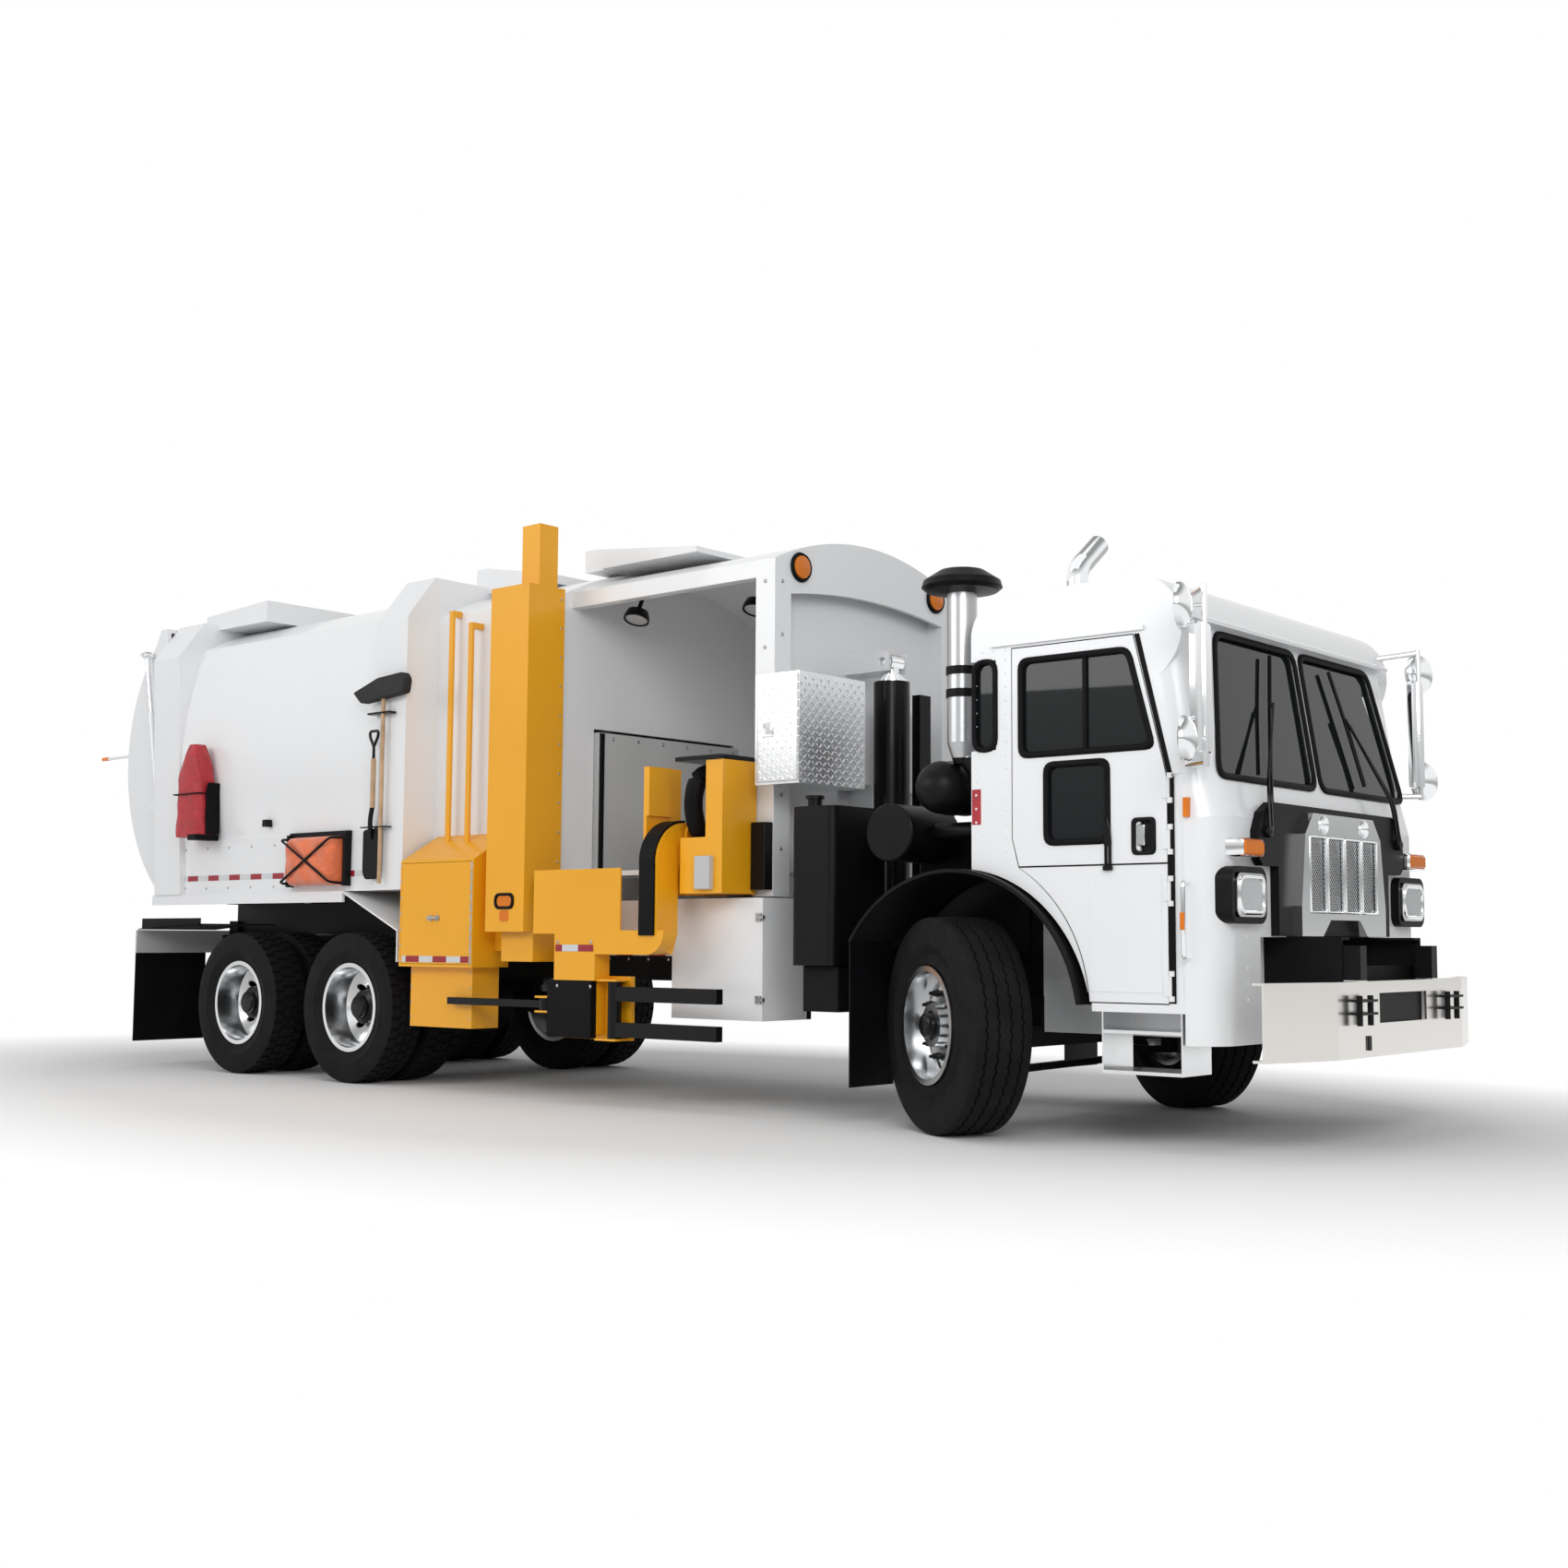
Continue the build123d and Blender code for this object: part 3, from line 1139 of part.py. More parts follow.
# Rubber on the arm: the belt round the gooseneck and the pad of the gripper
with BuildPart() as arm_rubber:
    with BuildSketch(cross_plane(arm_x - arm_width / 2 + 15)):
        with BuildLine():
            ThreePointArc((-1060, 1656), (-1235.7, 1585.7), (-arm_face - pin_gap, 1400))
            Polyline((-arm_face - pin_gap, 1400), (-arm_face - pin_gap, 1000), (-arm_face - 14, 1000),
                     (-arm_face - 14, 1400))
            ThreePointArc((-arm_face - 14, 1400), (-1245, 1595), (-1060, 1669))
            Line((-1060, 1669), (-1060, 1656))
        make_face()
    extrude(amount=arm_width - 30)
    box(450, 835, -1300, -1255, 396, 735)
save("arm_rubber", arm_rubber)


def finger(pin_x, tip_x, hub, levels):
    """One side of the gripper: a hub on its pin with bars reaching along the truck."""
    with BuildPart() as bars:
        rod_along("z", (pin_x, -finger_y, hub[0] + pin_gap), hub[1] - hub[0] - 2 * pin_gap, 40)
        for bottom, top in levels:
            box(pin_x, tip_x, -finger_y - 25, -finger_y + 25, bottom, top)
        rod_along("z", (pin_x, -finger_y, hub[0] - 5), hub[1] - hub[0] + 10, 22 + pin_gap,
                  mode=Mode.SUBTRACT)
    return bars


# Gripper fingers: two bars on the front pin, one on the rear pin
save("gripper_front", finger(finger_pin_front, 1815, (398, 732), ((410, 495), (617, 702))))
save("gripper_rear", finger(finger_pin_rear, -551, (547, 623), ((563, 607),)))

# Carried gear on the container's side: the cover, the bag, and the broom with the shovel
with BuildPart() as extinguisher_cover:
    box(-3810, -3390, -container_half - 190, -container_half + 80, 1720, 2416)
    fillet(extinguisher_cover.edges(), radius=60)
    with BuildSketch(cross_plane(-3900)):
        add(container_section(container_half + pin_gap))
    extrude(amount=600, mode=Mode.SUBTRACT)
save("extinguisher_cover", extinguisher_cover)

with BuildPart() as orange_bag:
    box(-2390, -1712, -container_half - 150, -container_half + 24, 1335, 1690)
    fillet(orange_bag.edges(), radius=50)
save("orange_bag", orange_bag)

with BuildPart() as broom_and_shovel:
    hang_y = -column_half - 45
    box(-1569, -991, hang_y - 30, hang_y + 45 - 1, 2600, 2740)
    rod_along("z", (-1262, hang_y, 1340), 1270, 15)
    rod_along("z", (-1350, hang_y - 10, 1650), 720, 18)
    box(-1470, -1290, hang_y - 20, hang_y + 30, 1367, 1709)
save("broom_and_shovel", broom_and_shovel)
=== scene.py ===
# %% [markdown]
# The garbage truck's solids are already modelled, one node for each real part. This lesson dresses
# them: it gives every node a finish and adds the tyres' tread, gaskets, lamps, bolts and carried
# gear. Nothing that the solids say about place or size is changed.

# %% Load the solids
import math
import bpy
import bmesh
import numpy as np
from mathutils import Matrix


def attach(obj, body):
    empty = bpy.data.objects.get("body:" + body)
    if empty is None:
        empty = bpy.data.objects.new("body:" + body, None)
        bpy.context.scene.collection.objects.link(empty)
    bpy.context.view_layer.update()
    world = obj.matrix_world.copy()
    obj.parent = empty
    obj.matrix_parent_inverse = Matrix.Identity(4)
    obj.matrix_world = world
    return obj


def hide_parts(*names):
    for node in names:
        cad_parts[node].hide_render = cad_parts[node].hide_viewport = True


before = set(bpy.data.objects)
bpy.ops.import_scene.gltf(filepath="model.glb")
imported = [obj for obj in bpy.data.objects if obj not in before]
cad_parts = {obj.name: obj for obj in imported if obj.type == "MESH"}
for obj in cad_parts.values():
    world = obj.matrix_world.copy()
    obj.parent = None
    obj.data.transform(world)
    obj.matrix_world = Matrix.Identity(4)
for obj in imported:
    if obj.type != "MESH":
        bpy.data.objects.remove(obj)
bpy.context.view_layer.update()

# %% [markdown]
# The photograph was taken from the front right, about a metre above the ground. The camera's place,
# its turn and its lens were worked out from points of the truck. The optical centre lies a little
# off the picture's middle, so the lens gets a small shift.

# %% Camera
mm = 0.001
camera_place = np.array([8.8417, -8.6446, 0.9782])
camera_yaw, camera_pitch, camera_roll = 2.2635, 0.0848, 0.0037
focal_pixels, centre_u, centre_v, picture = 1973.76, 912.70, 851.39, 1700


def camera_axes():
    """Right, up and backward directions: forward from yaw and pitch, then turned by the roll."""
    forward = np.array([math.cos(camera_yaw) * math.cos(camera_pitch),
                        math.sin(camera_yaw) * math.cos(camera_pitch), math.sin(camera_pitch)])
    level = np.array([math.sin(camera_yaw), -math.cos(camera_yaw), 0])
    upright = np.cross(level, forward)
    right = level * math.cos(camera_roll) + upright * math.sin(camera_roll)
    up = upright * math.cos(camera_roll) - level * math.sin(camera_roll)
    return right, up, -forward


def placed(right, up, back, place):
    """The matrix whose columns are three directions and a place."""
    return Matrix([[right[i], up[i], back[i], place[i]] for i in range(3)] + [[0, 0, 0, 1]])


lens = bpy.data.cameras.new("camera")
lens.sensor_width = 36
lens.lens = focal_pixels * lens.sensor_width / picture
lens.shift_x = 0.5 - centre_u / picture
lens.shift_y = centre_v / picture - 0.5
lens.clip_end = 200
camera = bpy.data.objects.new("camera", lens)
camera.matrix_world = placed(*camera_axes(), camera_place)
bpy.context.scene.collection.objects.link(camera)
bpy.context.scene.camera = camera
print("lens", round(lens.lens, 2))

# %% [markdown]
# A paint or a rubber is never one flat colour. Each finish here mixes two close shades by a broad
# noise that follows the object's own coordinates, and a finer noise shifts its roughness and raises a
# small bump. One function serves for all plain finishes, so that they differ only by numbers.


# %% Finishes from noise
def fill(tree, made, inputs):
    """Gives a node its inputs, each a fixed value or the output of another node."""
    for name, value in inputs.items():
        if isinstance(value, bpy.types.NodeSocket):
            tree.links.new(value, made.inputs[name])
        else:
            made.inputs[name].default_value = value


def node(tree, kind, inputs, output=0):
    """One output of a new node with its inputs."""
    made = tree.nodes.new("ShaderNode" + kind)
    fill(tree, made, inputs)
    return made.outputs[output]


def shader(name):
    """A new material with its node tree, its main shader and the object coordinates."""
    material = bpy.data.materials.new(name)
    material.use_nodes = True
    tree = material.node_tree
    return material, tree, tree.nodes["Principled BSDF"], node(tree, "TexCoord", {}, "Object")


def noise(tree, where, scale, detail=3, stretch=(1, 1, 1)):
    """Noise of a scale per metre on coordinates that are stretched along each axis."""
    stretched = node(tree, "Mapping", {"Vector": where, "Scale": stretch}, "Vector")
    return node(tree, "TexNoise", {"Vector": stretched, "Scale": scale, "Detail": detail}, "Fac")


def blend_colours(tree, share, low, high):
    """Colour that goes from low to high as the share goes from 0.3 to 0.7."""
    blended = node(tree, "ValToRGB", {"Fac": share}, "Color")
    for stop, place, colour in zip(blended.node.color_ramp.elements, (0.3, 0.7), (low, high)):
        stop.position = place
        stop.color = (*colour, 1)
    return blended


def spread(tree, share, low, high):
    """Number that goes from low to high as the share goes from 0 to 1."""
    return node(tree, "MapRange", {"Value": share, "To Min": low, "To Max": high}, "Result")


def raised(tree, height, strength, distance=0.002):
    """The direction of a surface that a height raises."""
    return node(tree, "Bump", {"Height": height, "Strength": strength, "Distance": distance}, "Normal")


def finish(name, colour, rough, metal=0.0, coat=0.0, shade=0.06, scale=3.0, bump=0.05,
           stretch=(1, 1, 1), fine=40.0, spec=0.5, vary=0.2):
    """Plain finish: two shades by a broad noise, roughness and bump by a fine one."""
    material, tree, main, where = shader(name)
    small = noise(tree, where, fine, 5, stretch)
    low = tuple(c * (1 - shade) for c in colour)
    high = tuple(min(1, c * (1 + shade)) for c in colour)
    fill(tree, main, {"Base Color": blend_colours(tree, noise(tree, where, scale), low, high),
                      "Roughness": spread(tree, small, rough * (1 - vary), rough * (1 + vary)),
                      "Metallic": metal, "Coat Weight": coat, "Coat Roughness": 0.05,
                      "Specular IOR Level": spec, "Normal": raised(tree, small, bump)})
    return material


white_shade = (0.81, 0.82, 0.832)
white = finish("white_paint", white_shade, 0.3, coat=0.4, shade=0.015, scale=0.6, bump=0.004, fine=5,
               vary=0.06)
yellow = finish("yellow_paint", (0.84, 0.385, 0.007), 0.34, coat=0.12, shade=0.04, scale=1.2, bump=0.006,
                fine=6, vary=0.08)
grey = finish("grey_paint", (0.50, 0.51, 0.51), 0.42, coat=0.1, shade=0.04, scale=1.5, bump=0.01, vary=0.1)
black = finish("black_paint", (0.004, 0.004, 0.005), 0.25, coat=0.08, shade=0.3, scale=3, bump=0.02,
               spec=0.16)
frame_black = finish("frame_black", (0.007, 0.007, 0.007), 0.6, shade=0.3, scale=5, bump=0.1, spec=0.12)
plastic = finish("black_plastic", (0.005, 0.005, 0.006), 0.4, shade=0.25, scale=4, bump=0.08, fine=220,
                 spec=0.12)
rubber = finish("rubber", (0.005, 0.005, 0.006), 0.5, shade=0.25, scale=5, bump=0.1, fine=120, spec=0.08)
tyre_rubber = finish("tyre_rubber", (0.010, 0.010, 0.011), 0.7, shade=0.25, scale=8, bump=0.2, fine=160,
                     spec=0.1)
polished = finish("polished_aluminium", (0.78, 0.79, 0.80), 0.2, metal=1, shade=0.04, scale=6, bump=0.02)
chrome = finish("chrome", (0.86, 0.87, 0.88), 0.06, metal=1, shade=0.02, scale=4, bump=0.01)
steel = finish("steel", (0.42, 0.42, 0.43), 0.35, metal=1, shade=0.1, scale=6, bump=0.08)
cast_metal = finish("cast_metal", (0.05, 0.05, 0.052), 0.6, metal=0.4, shade=0.3, scale=6, bump=0.3)
seat_vinyl = finish("seat_vinyl", (0.02, 0.021, 0.023), 0.55, shade=0.15, scale=6, bump=0.3, fine=300)
orange_plastic = finish("orange_plastic", (0.85, 0.20, 0.02), 0.4, shade=0.05, scale=5, bump=0.03)
print("plain finishes", len(bpy.data.materials))

# %% [markdown]
# Glass, lenses and cloth need shaders of their own. The cab is dark inside, so its glass is a nearly
# opaque dark glossy pane that lets little through: painted shade of the cab's unlit inside, with a
# slight tint. A lens is tinted and lightly fluted, and the vinyl and the orange cloth have soft creases
# whose hollows are darkened as painted shade.


# %% Glass, lenses and cloth
def clear_finish(name, colour, alpha, rough, flute=0.0):
    """Glossy pane whose noise shifts its shade a little, seen through by its alpha."""
    material, tree, main, where = shader(name)
    low = tuple(c * 0.85 for c in colour)
    fill(tree, main, {"Base Color": blend_colours(tree, noise(tree, where, 2.0), low, colour),
                      "Roughness": rough, "Alpha": alpha, "Specular IOR Level": 0.35})
    if flute:
        waves = node(tree, "TexWave", {"Vector": where, "Scale": flute}, "Fac")
        fill(tree, main, {"Normal": raised(tree, waves, 0.35)})
    return material


def cloth_finish(name, colour, sheen):
    """Cloth or vinyl: one noise darkens its creases as painted shade, roughens them and raises them."""
    material, tree, main, where = shader(name)
    creases = noise(tree, where, 14, 4)
    # The hollows of the creases get the darker colour: painted shade.
    low = tuple(c * 0.7 for c in colour)
    fill(tree, main, {"Base Color": blend_colours(tree, creases, low, colour), "Sheen Weight": sheen,
                      "Roughness": spread(tree, creases, 0.42, 0.62),
                      "Normal": raised(tree, creases, 0.7, 0.012)})
    return material


# Nearly opaque and near black: painted shade of the cab's unlit inside, with a slight green tint.
cab_shade_glass = clear_finish("cab_shade_glass", (0.010, 0.012, 0.013), 0.95, 0.02)
clear_lens = clear_finish("clear_lens", (0.75, 0.77, 0.78), 0.75, 0.06, 60)
amber_lens = clear_finish("amber_lens", (0.85, 0.22, 0.012), 0.95, 0.12, 45)
red_lens = clear_finish("red_lens", (0.55, 0.01, 0.01), 0.95, 0.12, 45)
red_vinyl = cloth_finish("red_vinyl", (0.46, 0.012, 0.022), 0.1)
orange_cloth = cloth_finish("orange_cloth", (0.86, 0.17, 0.045), 0.4)
bristle = finish("bristle", (0.012, 0.012, 0.012), 0.8, shade=0.4, scale=40, bump=1.0, stretch=(8, 8, 1),
                 fine=90)
wood = finish("wood", (0.46, 0.30, 0.17), 0.5, shade=0.18, scale=9, bump=0.2, stretch=(20, 20, 1), fine=14)
print("all finishes", len(bpy.data.materials))

# %% [markdown]
# The safety tape changes from red to silver along the truck. Some nodes also need two finishes, such
# as the bumper with its black tow hooks. Both are worked out from the object coordinates with a few
# sums, so that they need no picture.


# %% Patterned finishes
def sums(tree):
    """A helper that adds one sum to a tree, of fixed values or the outputs of other nodes."""
    def step(operation, *values):
        result = node(tree, "Math", dict(enumerate(values)))
        result.node.operation = operation
        return result
    return step


def split(tree, where):
    """The three coordinates of a vector as separate outputs."""
    return node(tree, "SeparateXYZ", {0: where}).node.outputs


def safety_tape(length=0.28):
    """Red where the place along the truck lies in the first half of each length, else silver."""
    material, tree, main, where = shader("safety_tape")
    silver, red = (0.62, 0.63, 0.64), (0.30, 0.008, 0.02)
    step = sums(tree)
    half = step("LESS_THAN", step("FRACT", step("DIVIDE", step("ADD", split(tree, where)[0], 20.0), length)),
                0.5)
    cells = node(tree, "TexVoronoi", {"Vector": where, "Scale": 160}, "Distance")
    fill(tree, main, {"Base Color": blend_colours(tree, half, silver, red),
                      "Roughness": spread(tree, cells, 0.3, 0.5), "Normal": raised(tree, cells, 0.15)})
    return material


def two_finishes(name, ranges, inside, outside, streaks=(1, 1, 1)):
    """One colour, roughness and metal where a coordinate lies in one of the ranges, others elsewhere."""
    material, tree, main, where = shader(name)
    places = split(tree, where)
    step = sums(tree)
    share = 0.0
    for axis, low, high in ranges:
        place = places["XYZ".index(axis)]
        within = step("MULTIPLY", step("GREATER_THAN", place, low), step("LESS_THAN", place, high))
        share = step("MAXIMUM", share, within)
    fill(tree, main, {"Base Color": blend_colours(tree, share, outside[0], inside[0]),
                      "Roughness": spread(tree, share, outside[1], inside[1]),
                      "Metallic": spread(tree, share, outside[2], inside[2]), "Specular IOR Level": 0.15,
                      "Normal": raised(tree, noise(tree, where, 50, 5, streaks), 0.05)})
    return material


tape = safety_tape()
dark, bare_metal, warm_metal = (0.005, 0.005, 0.006), (0.5, 0.51, 0.52), (0.80, 0.78, 0.745)
intake_finish = two_finishes("intake_finish", [("Z", 1.93, 2.80)], (bare_metal, 0.32, 1.0), (dark, 0.4, 0.0))
tank_finish = two_finishes("tank_finish", [("Y", 0.55, 1.5)], (bare_metal, 0.2, 1.0), (dark, 0.3, 0.0))
bumper_finish = two_finishes("bumper_finish", [("X", 5.2403, 6.0), ("Z", 0.797, 2.0)], (dark, 0.4, 0.0),
                             (warm_metal, 0.24, 1.0), (1, 0.05, 2))
# The body frame is white paint with a dark middle, |y| < 0.6 m: the dark is painted shade under the body.
subframe_white_and_shade = two_finishes("subframe_white_and_shade", [("Y", -0.6, 0.6)], (dark, 0.45, 0.0),
                               (white_shade, 0.3, 0.0))
print("with patterns", len(bpy.data.materials))

# %% [markdown]
# A node whose shape is right keeps its mesh and only changes its finish. The table below names the
# finish of every node. Those that get a new piece instead are finished too, so that none is bare.

# %% Dress the nodes
node_finish = {
    white: ("cab_shell", "right_door_upper", "right_door_lower", "left_door", "hopper_shell",
            "container_shell", "tailgate", "tailgate_barrels", "locker_door"),
    # The body frame's dark middle is painted shade under the body.
    subframe_white_and_shade: ("body_frame",),
    bumper_finish: ("front_bumper",),
    yellow: ("lift_column", "lift_locker_door", "arm_carriage", "gooseneck"),
    grey: ("packer",),
    black: ("hoist_casing", "gripper_front", "gripper_rear"),
    frame_black: ("chassis_frame", "axles", "knuckle_left", "knuckle_right", "tie_rod"),
    plastic: ("front_fenders", "grille_surround", "lamp_housings"),
    rubber: ("arm_rubber",),
    tyre_rubber: ("front_tyre_left", "front_tyre_right", "second_tyres_left", "second_tyres_right",
                  "third_tyres_left", "third_tyres_right"),
    polished: ("front_rim_left", "front_rim_right", "second_rims_left", "second_rims_right",
               "third_rims_left", "third_rims_right", "cab_steps", "toolbox", "toolbox_door"),
    chrome: ("grille", "mirrors", "exhaust_stack", "tailgate_rods", "hoist_stage_1", "hoist_stage_2",
             "hoist_stage_3", "headlamps"),
    cab_shade_glass: ("cab_glass",),
    amber_lens: ("amber_lamps",),
    cast_metal: ("engine_block",),
    seat_vinyl: ("cab_interior",),
    intake_finish: ("air_intake",),
    tank_finish: ("tanks",),
    red_vinyl: ("extinguisher_cover",),
    orange_cloth: ("orange_bag",),
    wood: ("broom_and_shovel",),
}
for material, names in node_finish.items():
    for name in names:
        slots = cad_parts[name].data.materials
        slots.clear()
        slots.append(material)
dressed = sum(len(names) for names in node_finish.values())
print("dressed", dressed, "of", len(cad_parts))

# %% [markdown]
# All new pieces are surfaces worked out with numpy. A grid of points is joined into quads, doubled
# points are merged, and the faces are turned outwards. Sizes are written in millimetres, as in the
# workshop, and become metres in one place.

# %% Turn arrays into pieces
sides = ("right", "left")


def grid_faces(rows, columns, wrap_rows=False, wrap_columns=False):
    """Quads of a grid: point (r, c) joins (r, c+1), (r+1, c+1) and (r+1, c), with wrapped ends."""
    r = np.arange(rows if wrap_rows else rows - 1)[:, None]
    c = np.arange(columns if wrap_columns else columns - 1)[None, :]
    near, far = (c % columns), ((c + 1) % columns)
    low, high = (r % rows) * columns, ((r + 1) % rows) * columns
    return np.stack([low + near, low + far, high + far, high + near], -1).reshape(-1, 4)


def joined(parts):
    """Several point and face arrays as one: each later one's face numbers move up."""
    points, faces, count = [], [], 0
    for part_points, part_faces in parts:
        flat = np.asarray(part_points, float).reshape(-1, 3)
        points.append(flat)
        faces.extend([[int(i) + count for i in face] for face in part_faces])
        count += len(flat)
    return np.concatenate(points), faces


def add(name, parts, material, body, smooth=40, replaces=None):
    """A finished object from parts in millimetres, riding on a body."""
    points, faces = joined(parts)
    mesh = bpy.data.meshes.new(name)
    mesh.from_pydata((points * mm).tolist(), [], faces)
    work = bmesh.new()
    work.from_mesh(mesh)
    bmesh.ops.remove_doubles(work, verts=work.verts, dist=1e-5)
    bmesh.ops.recalc_face_normals(work, faces=work.faces)
    work.to_mesh(mesh)
    work.free()
    mesh.shade_smooth()
    mesh.set_sharp_from_angle(angle=math.radians(smooth))
    mesh.materials.append(material)
    made = bpy.data.objects.new(name, mesh)
    bpy.context.scene.collection.objects.link(made)
    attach(made, body)
    if replaces:
        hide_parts(replaces)
    return made


def put(face, u, v, w):
    """Points of a flat outline (u, v) at a height w on the truck's right, left, front, back or top."""
    u, v, w = np.broadcast_arrays(np.asarray(u, float), np.asarray(v, float), np.asarray(w, float))
    return {"right": np.stack([u, -w, v], -1), "left": np.stack([u, w, v], -1),
            "front": np.stack([w, u, v], -1), "back": np.stack([-w, u, v], -1),
            "top": np.stack([u, v, w], -1)}[face]


def corner_curves(corner, before, after, radius, steps):
    """Curves (1-t)^2 A + 2t(1-t) C + t^2 B past corners C, between points A and B beside them."""
    far_before = np.linalg.norm(before - corner, axis=1)
    far_after = np.linalg.norm(after - corner, axis=1)
    reach = np.minimum(radius, 0.49 * np.minimum(far_before, far_after))[:, None]
    start = corner + (before - corner) / far_before[:, None] * reach
    end = corner + (after - corner) / far_after[:, None] * reach
    t = np.linspace(0, 1, steps)[None, :, None]
    curve = (1 - t) ** 2 * start[:, None] + 2 * t * (1 - t) * corner[:, None] + t ** 2 * end[:, None]
    return curve.reshape(-1, corner.shape[1])


def rounded(points, radius, steps=5):
    """A closed outline whose corners become curves."""
    corner = np.asarray(points, float)
    return corner_curves(corner, np.roll(corner, 1, 0), np.roll(corner, -1, 0), radius, steps)


def bent(points, radius, steps=6):
    """An open path whose inner corners become curves."""
    points = np.asarray(points, float)
    curve = corner_curves(points[1:-1], points[:-2], points[2:], radius, steps)
    return np.concatenate([points[:1], curve, points[-1:]])


def shrunk(points, amount):
    """Each corner moves inwards along the sum of its edges' normals, for a constant margin."""
    corner = np.asarray(points, float)
    edge = np.roll(corner, -1, 0) - corner
    area = np.sum(corner[:, 0] * np.roll(corner[:, 1], -1) - np.roll(corner[:, 0], -1) * corner[:, 1])
    normal = np.stack([-edge[:, 1], edge[:, 0]], -1) / np.linalg.norm(edge, axis=1)[:, None]
    normal = normal * np.sign(area)
    last = np.roll(normal, 1, 0)
    return corner + (normal + last) / (1 + np.sum(normal * last, 1))[:, None] * amount


def rectangle(u0, u1, v0, v1):
    """The four corners of a rectangle in turn."""
    return np.array([(u0, v0), (u1, v0), (u1, v1), (u0, v1)], float)


def slab(outline, low, high, face, edge=1.5):
    """A plate: the outline at its foot, at its edge's start, and drawn in a little at its top."""
    outline = np.asarray(outline, float)
    inner = shrunk(outline, edge)
    sign = 1 if high > low else -1
    rings = [put(face, *outline.T, low), put(face, *outline.T, high - sign * edge), put(face, *inner.T, high)]
    count = len(outline)
    faces = [list(f) for f in grid_faces(3, count, wrap_columns=True)]
    faces += [list(range(count))[::-1], list(range(2 * count, 3 * count))]
    return np.concatenate(rings), faces


def block(u0, u1, v0, v1, low, high, face, edge=1.5):
    """A rectangular slab."""
    return slab(rectangle(u0, u1, v0, v1), low, high, face, edge)


def frame_strip(outer, inner, low, high, face, steps=9):
    """A strip whose section is a half round from the outer outline over the top to the inner one."""
    outer, inner = np.asarray(outer, float), np.asarray(inner, float)
    turn = np.linspace(0, math.pi, steps)
    share = ((1 - np.cos(turn)) / 2)[:, None, None]
    flat = outer[None] * (1 - share) + inner[None] * share
    height = low + (high - low) * np.sin(turn) ** 0.6
    rings = put(face, flat[..., 0], flat[..., 1], height[:, None])
    return rings.reshape(-1, 3), grid_faces(steps, len(outer), True, True)


def gasket(outline, outward, inward, radii, low, high, face):
    """A strip that reaches outward and inward of an outline, with a corner radius on either side."""
    outer, inner = shrunk(outline, -outward), shrunk(outline, inward)
    return frame_strip(rounded(outer, radii[0]), rounded(inner, radii[1]), low, high, face)


def ring_slab(outer, inner, low, high, face):
    """A flat ring between two outlines of as many points, with square edges."""
    rings = [put(face, *line.T, w) for line, w in ((outer, low), (outer, high), (inner, high), (inner, low))]
    return np.concatenate(rings), grid_faces(4, len(outer), True, True)


def lathe(profile, centre, axis, steps=32):
    """Points at centre + h axis + r (cos a e1 + sin a e2), for a profile of (r, h) round the axis."""
    axis = np.asarray(axis, float) / np.linalg.norm(axis)
    helper = np.array([0, 0, 1.0]) if abs(axis[2]) < 0.9 else np.array([1.0, 0, 0])
    first = np.cross(axis, helper)
    first /= np.linalg.norm(first)
    second = np.cross(axis, first)
    radius, height = np.asarray(profile, float).T
    angle = np.linspace(0, 2 * math.pi, steps, endpoint=False)
    around = np.cos(angle)[:, None] * first + np.sin(angle)[:, None] * second
    points = (np.asarray(centre, float) + height[None, :, None] * axis
              + radius[None, :, None] * around[:, None, :])
    return points.reshape(-1, 3), grid_faces(steps, len(radius), wrap_rows=True)


def pipe(path, radius, steps=10):
    """A round section carried along a path: its frame is square to the path's direction."""
    path = np.asarray(path, float)
    along = np.gradient(path, axis=0)
    along /= np.linalg.norm(along, axis=1)[:, None]
    side = np.cross(along, np.array([0.31, 0.52, 0.79]))
    side /= np.linalg.norm(side, axis=1)[:, None]
    other = np.cross(along, side)
    angle = np.linspace(0, 2 * math.pi, steps, endpoint=False)
    ring = np.cos(angle)[None, :, None] * side[:, None] + np.sin(angle)[None, :, None] * other[:, None]
    ends = np.broadcast_to(path[[0, -1]][:, None], (2, steps, 3))
    rings = np.concatenate([ends[:1], path[:, None] + ring * radius, ends[1:]])
    return rings.reshape(-1, 3), grid_faces(len(path) + 2, steps, wrap_columns=True)


def studs(places, face, radius, height, sides=8, stretch=1.0, lean=0.0):
    """Small domes at many places (u, v, w) of a face, made longer and turned by their own angles."""
    places = np.asarray(places, float).reshape(-1, 3)
    angle = np.linspace(0, 2 * math.pi, sides, endpoint=False)
    levels = np.array([(1.0, 0.0), (1.0, 0.45), (0.72, 0.85), (0.0, 1.0)])
    u = (levels[:, :1] * np.cos(angle) * radius * stretch).reshape(1, -1)
    v = (levels[:, :1] * np.sin(angle) * radius).reshape(1, -1)
    w = np.broadcast_to(levels[:, 1:] * height, (4, sides)).reshape(1, -1)
    turn = np.broadcast_to(lean, len(places))[:, None]
    shape = np.stack([u * np.cos(turn) - v * np.sin(turn), u * np.sin(turn) + v * np.cos(turn),
                      w + 0 * turn], -1)
    every = shape + places[:, None]
    points = put(face, every[..., 0], every[..., 1], every[..., 2])
    base = grid_faces(4, sides, wrap_columns=True)
    faces = (base[None] + (np.arange(len(places)) * 4 * sides)[:, None, None]).reshape(-1, 4)
    return points.reshape(-1, 3), faces


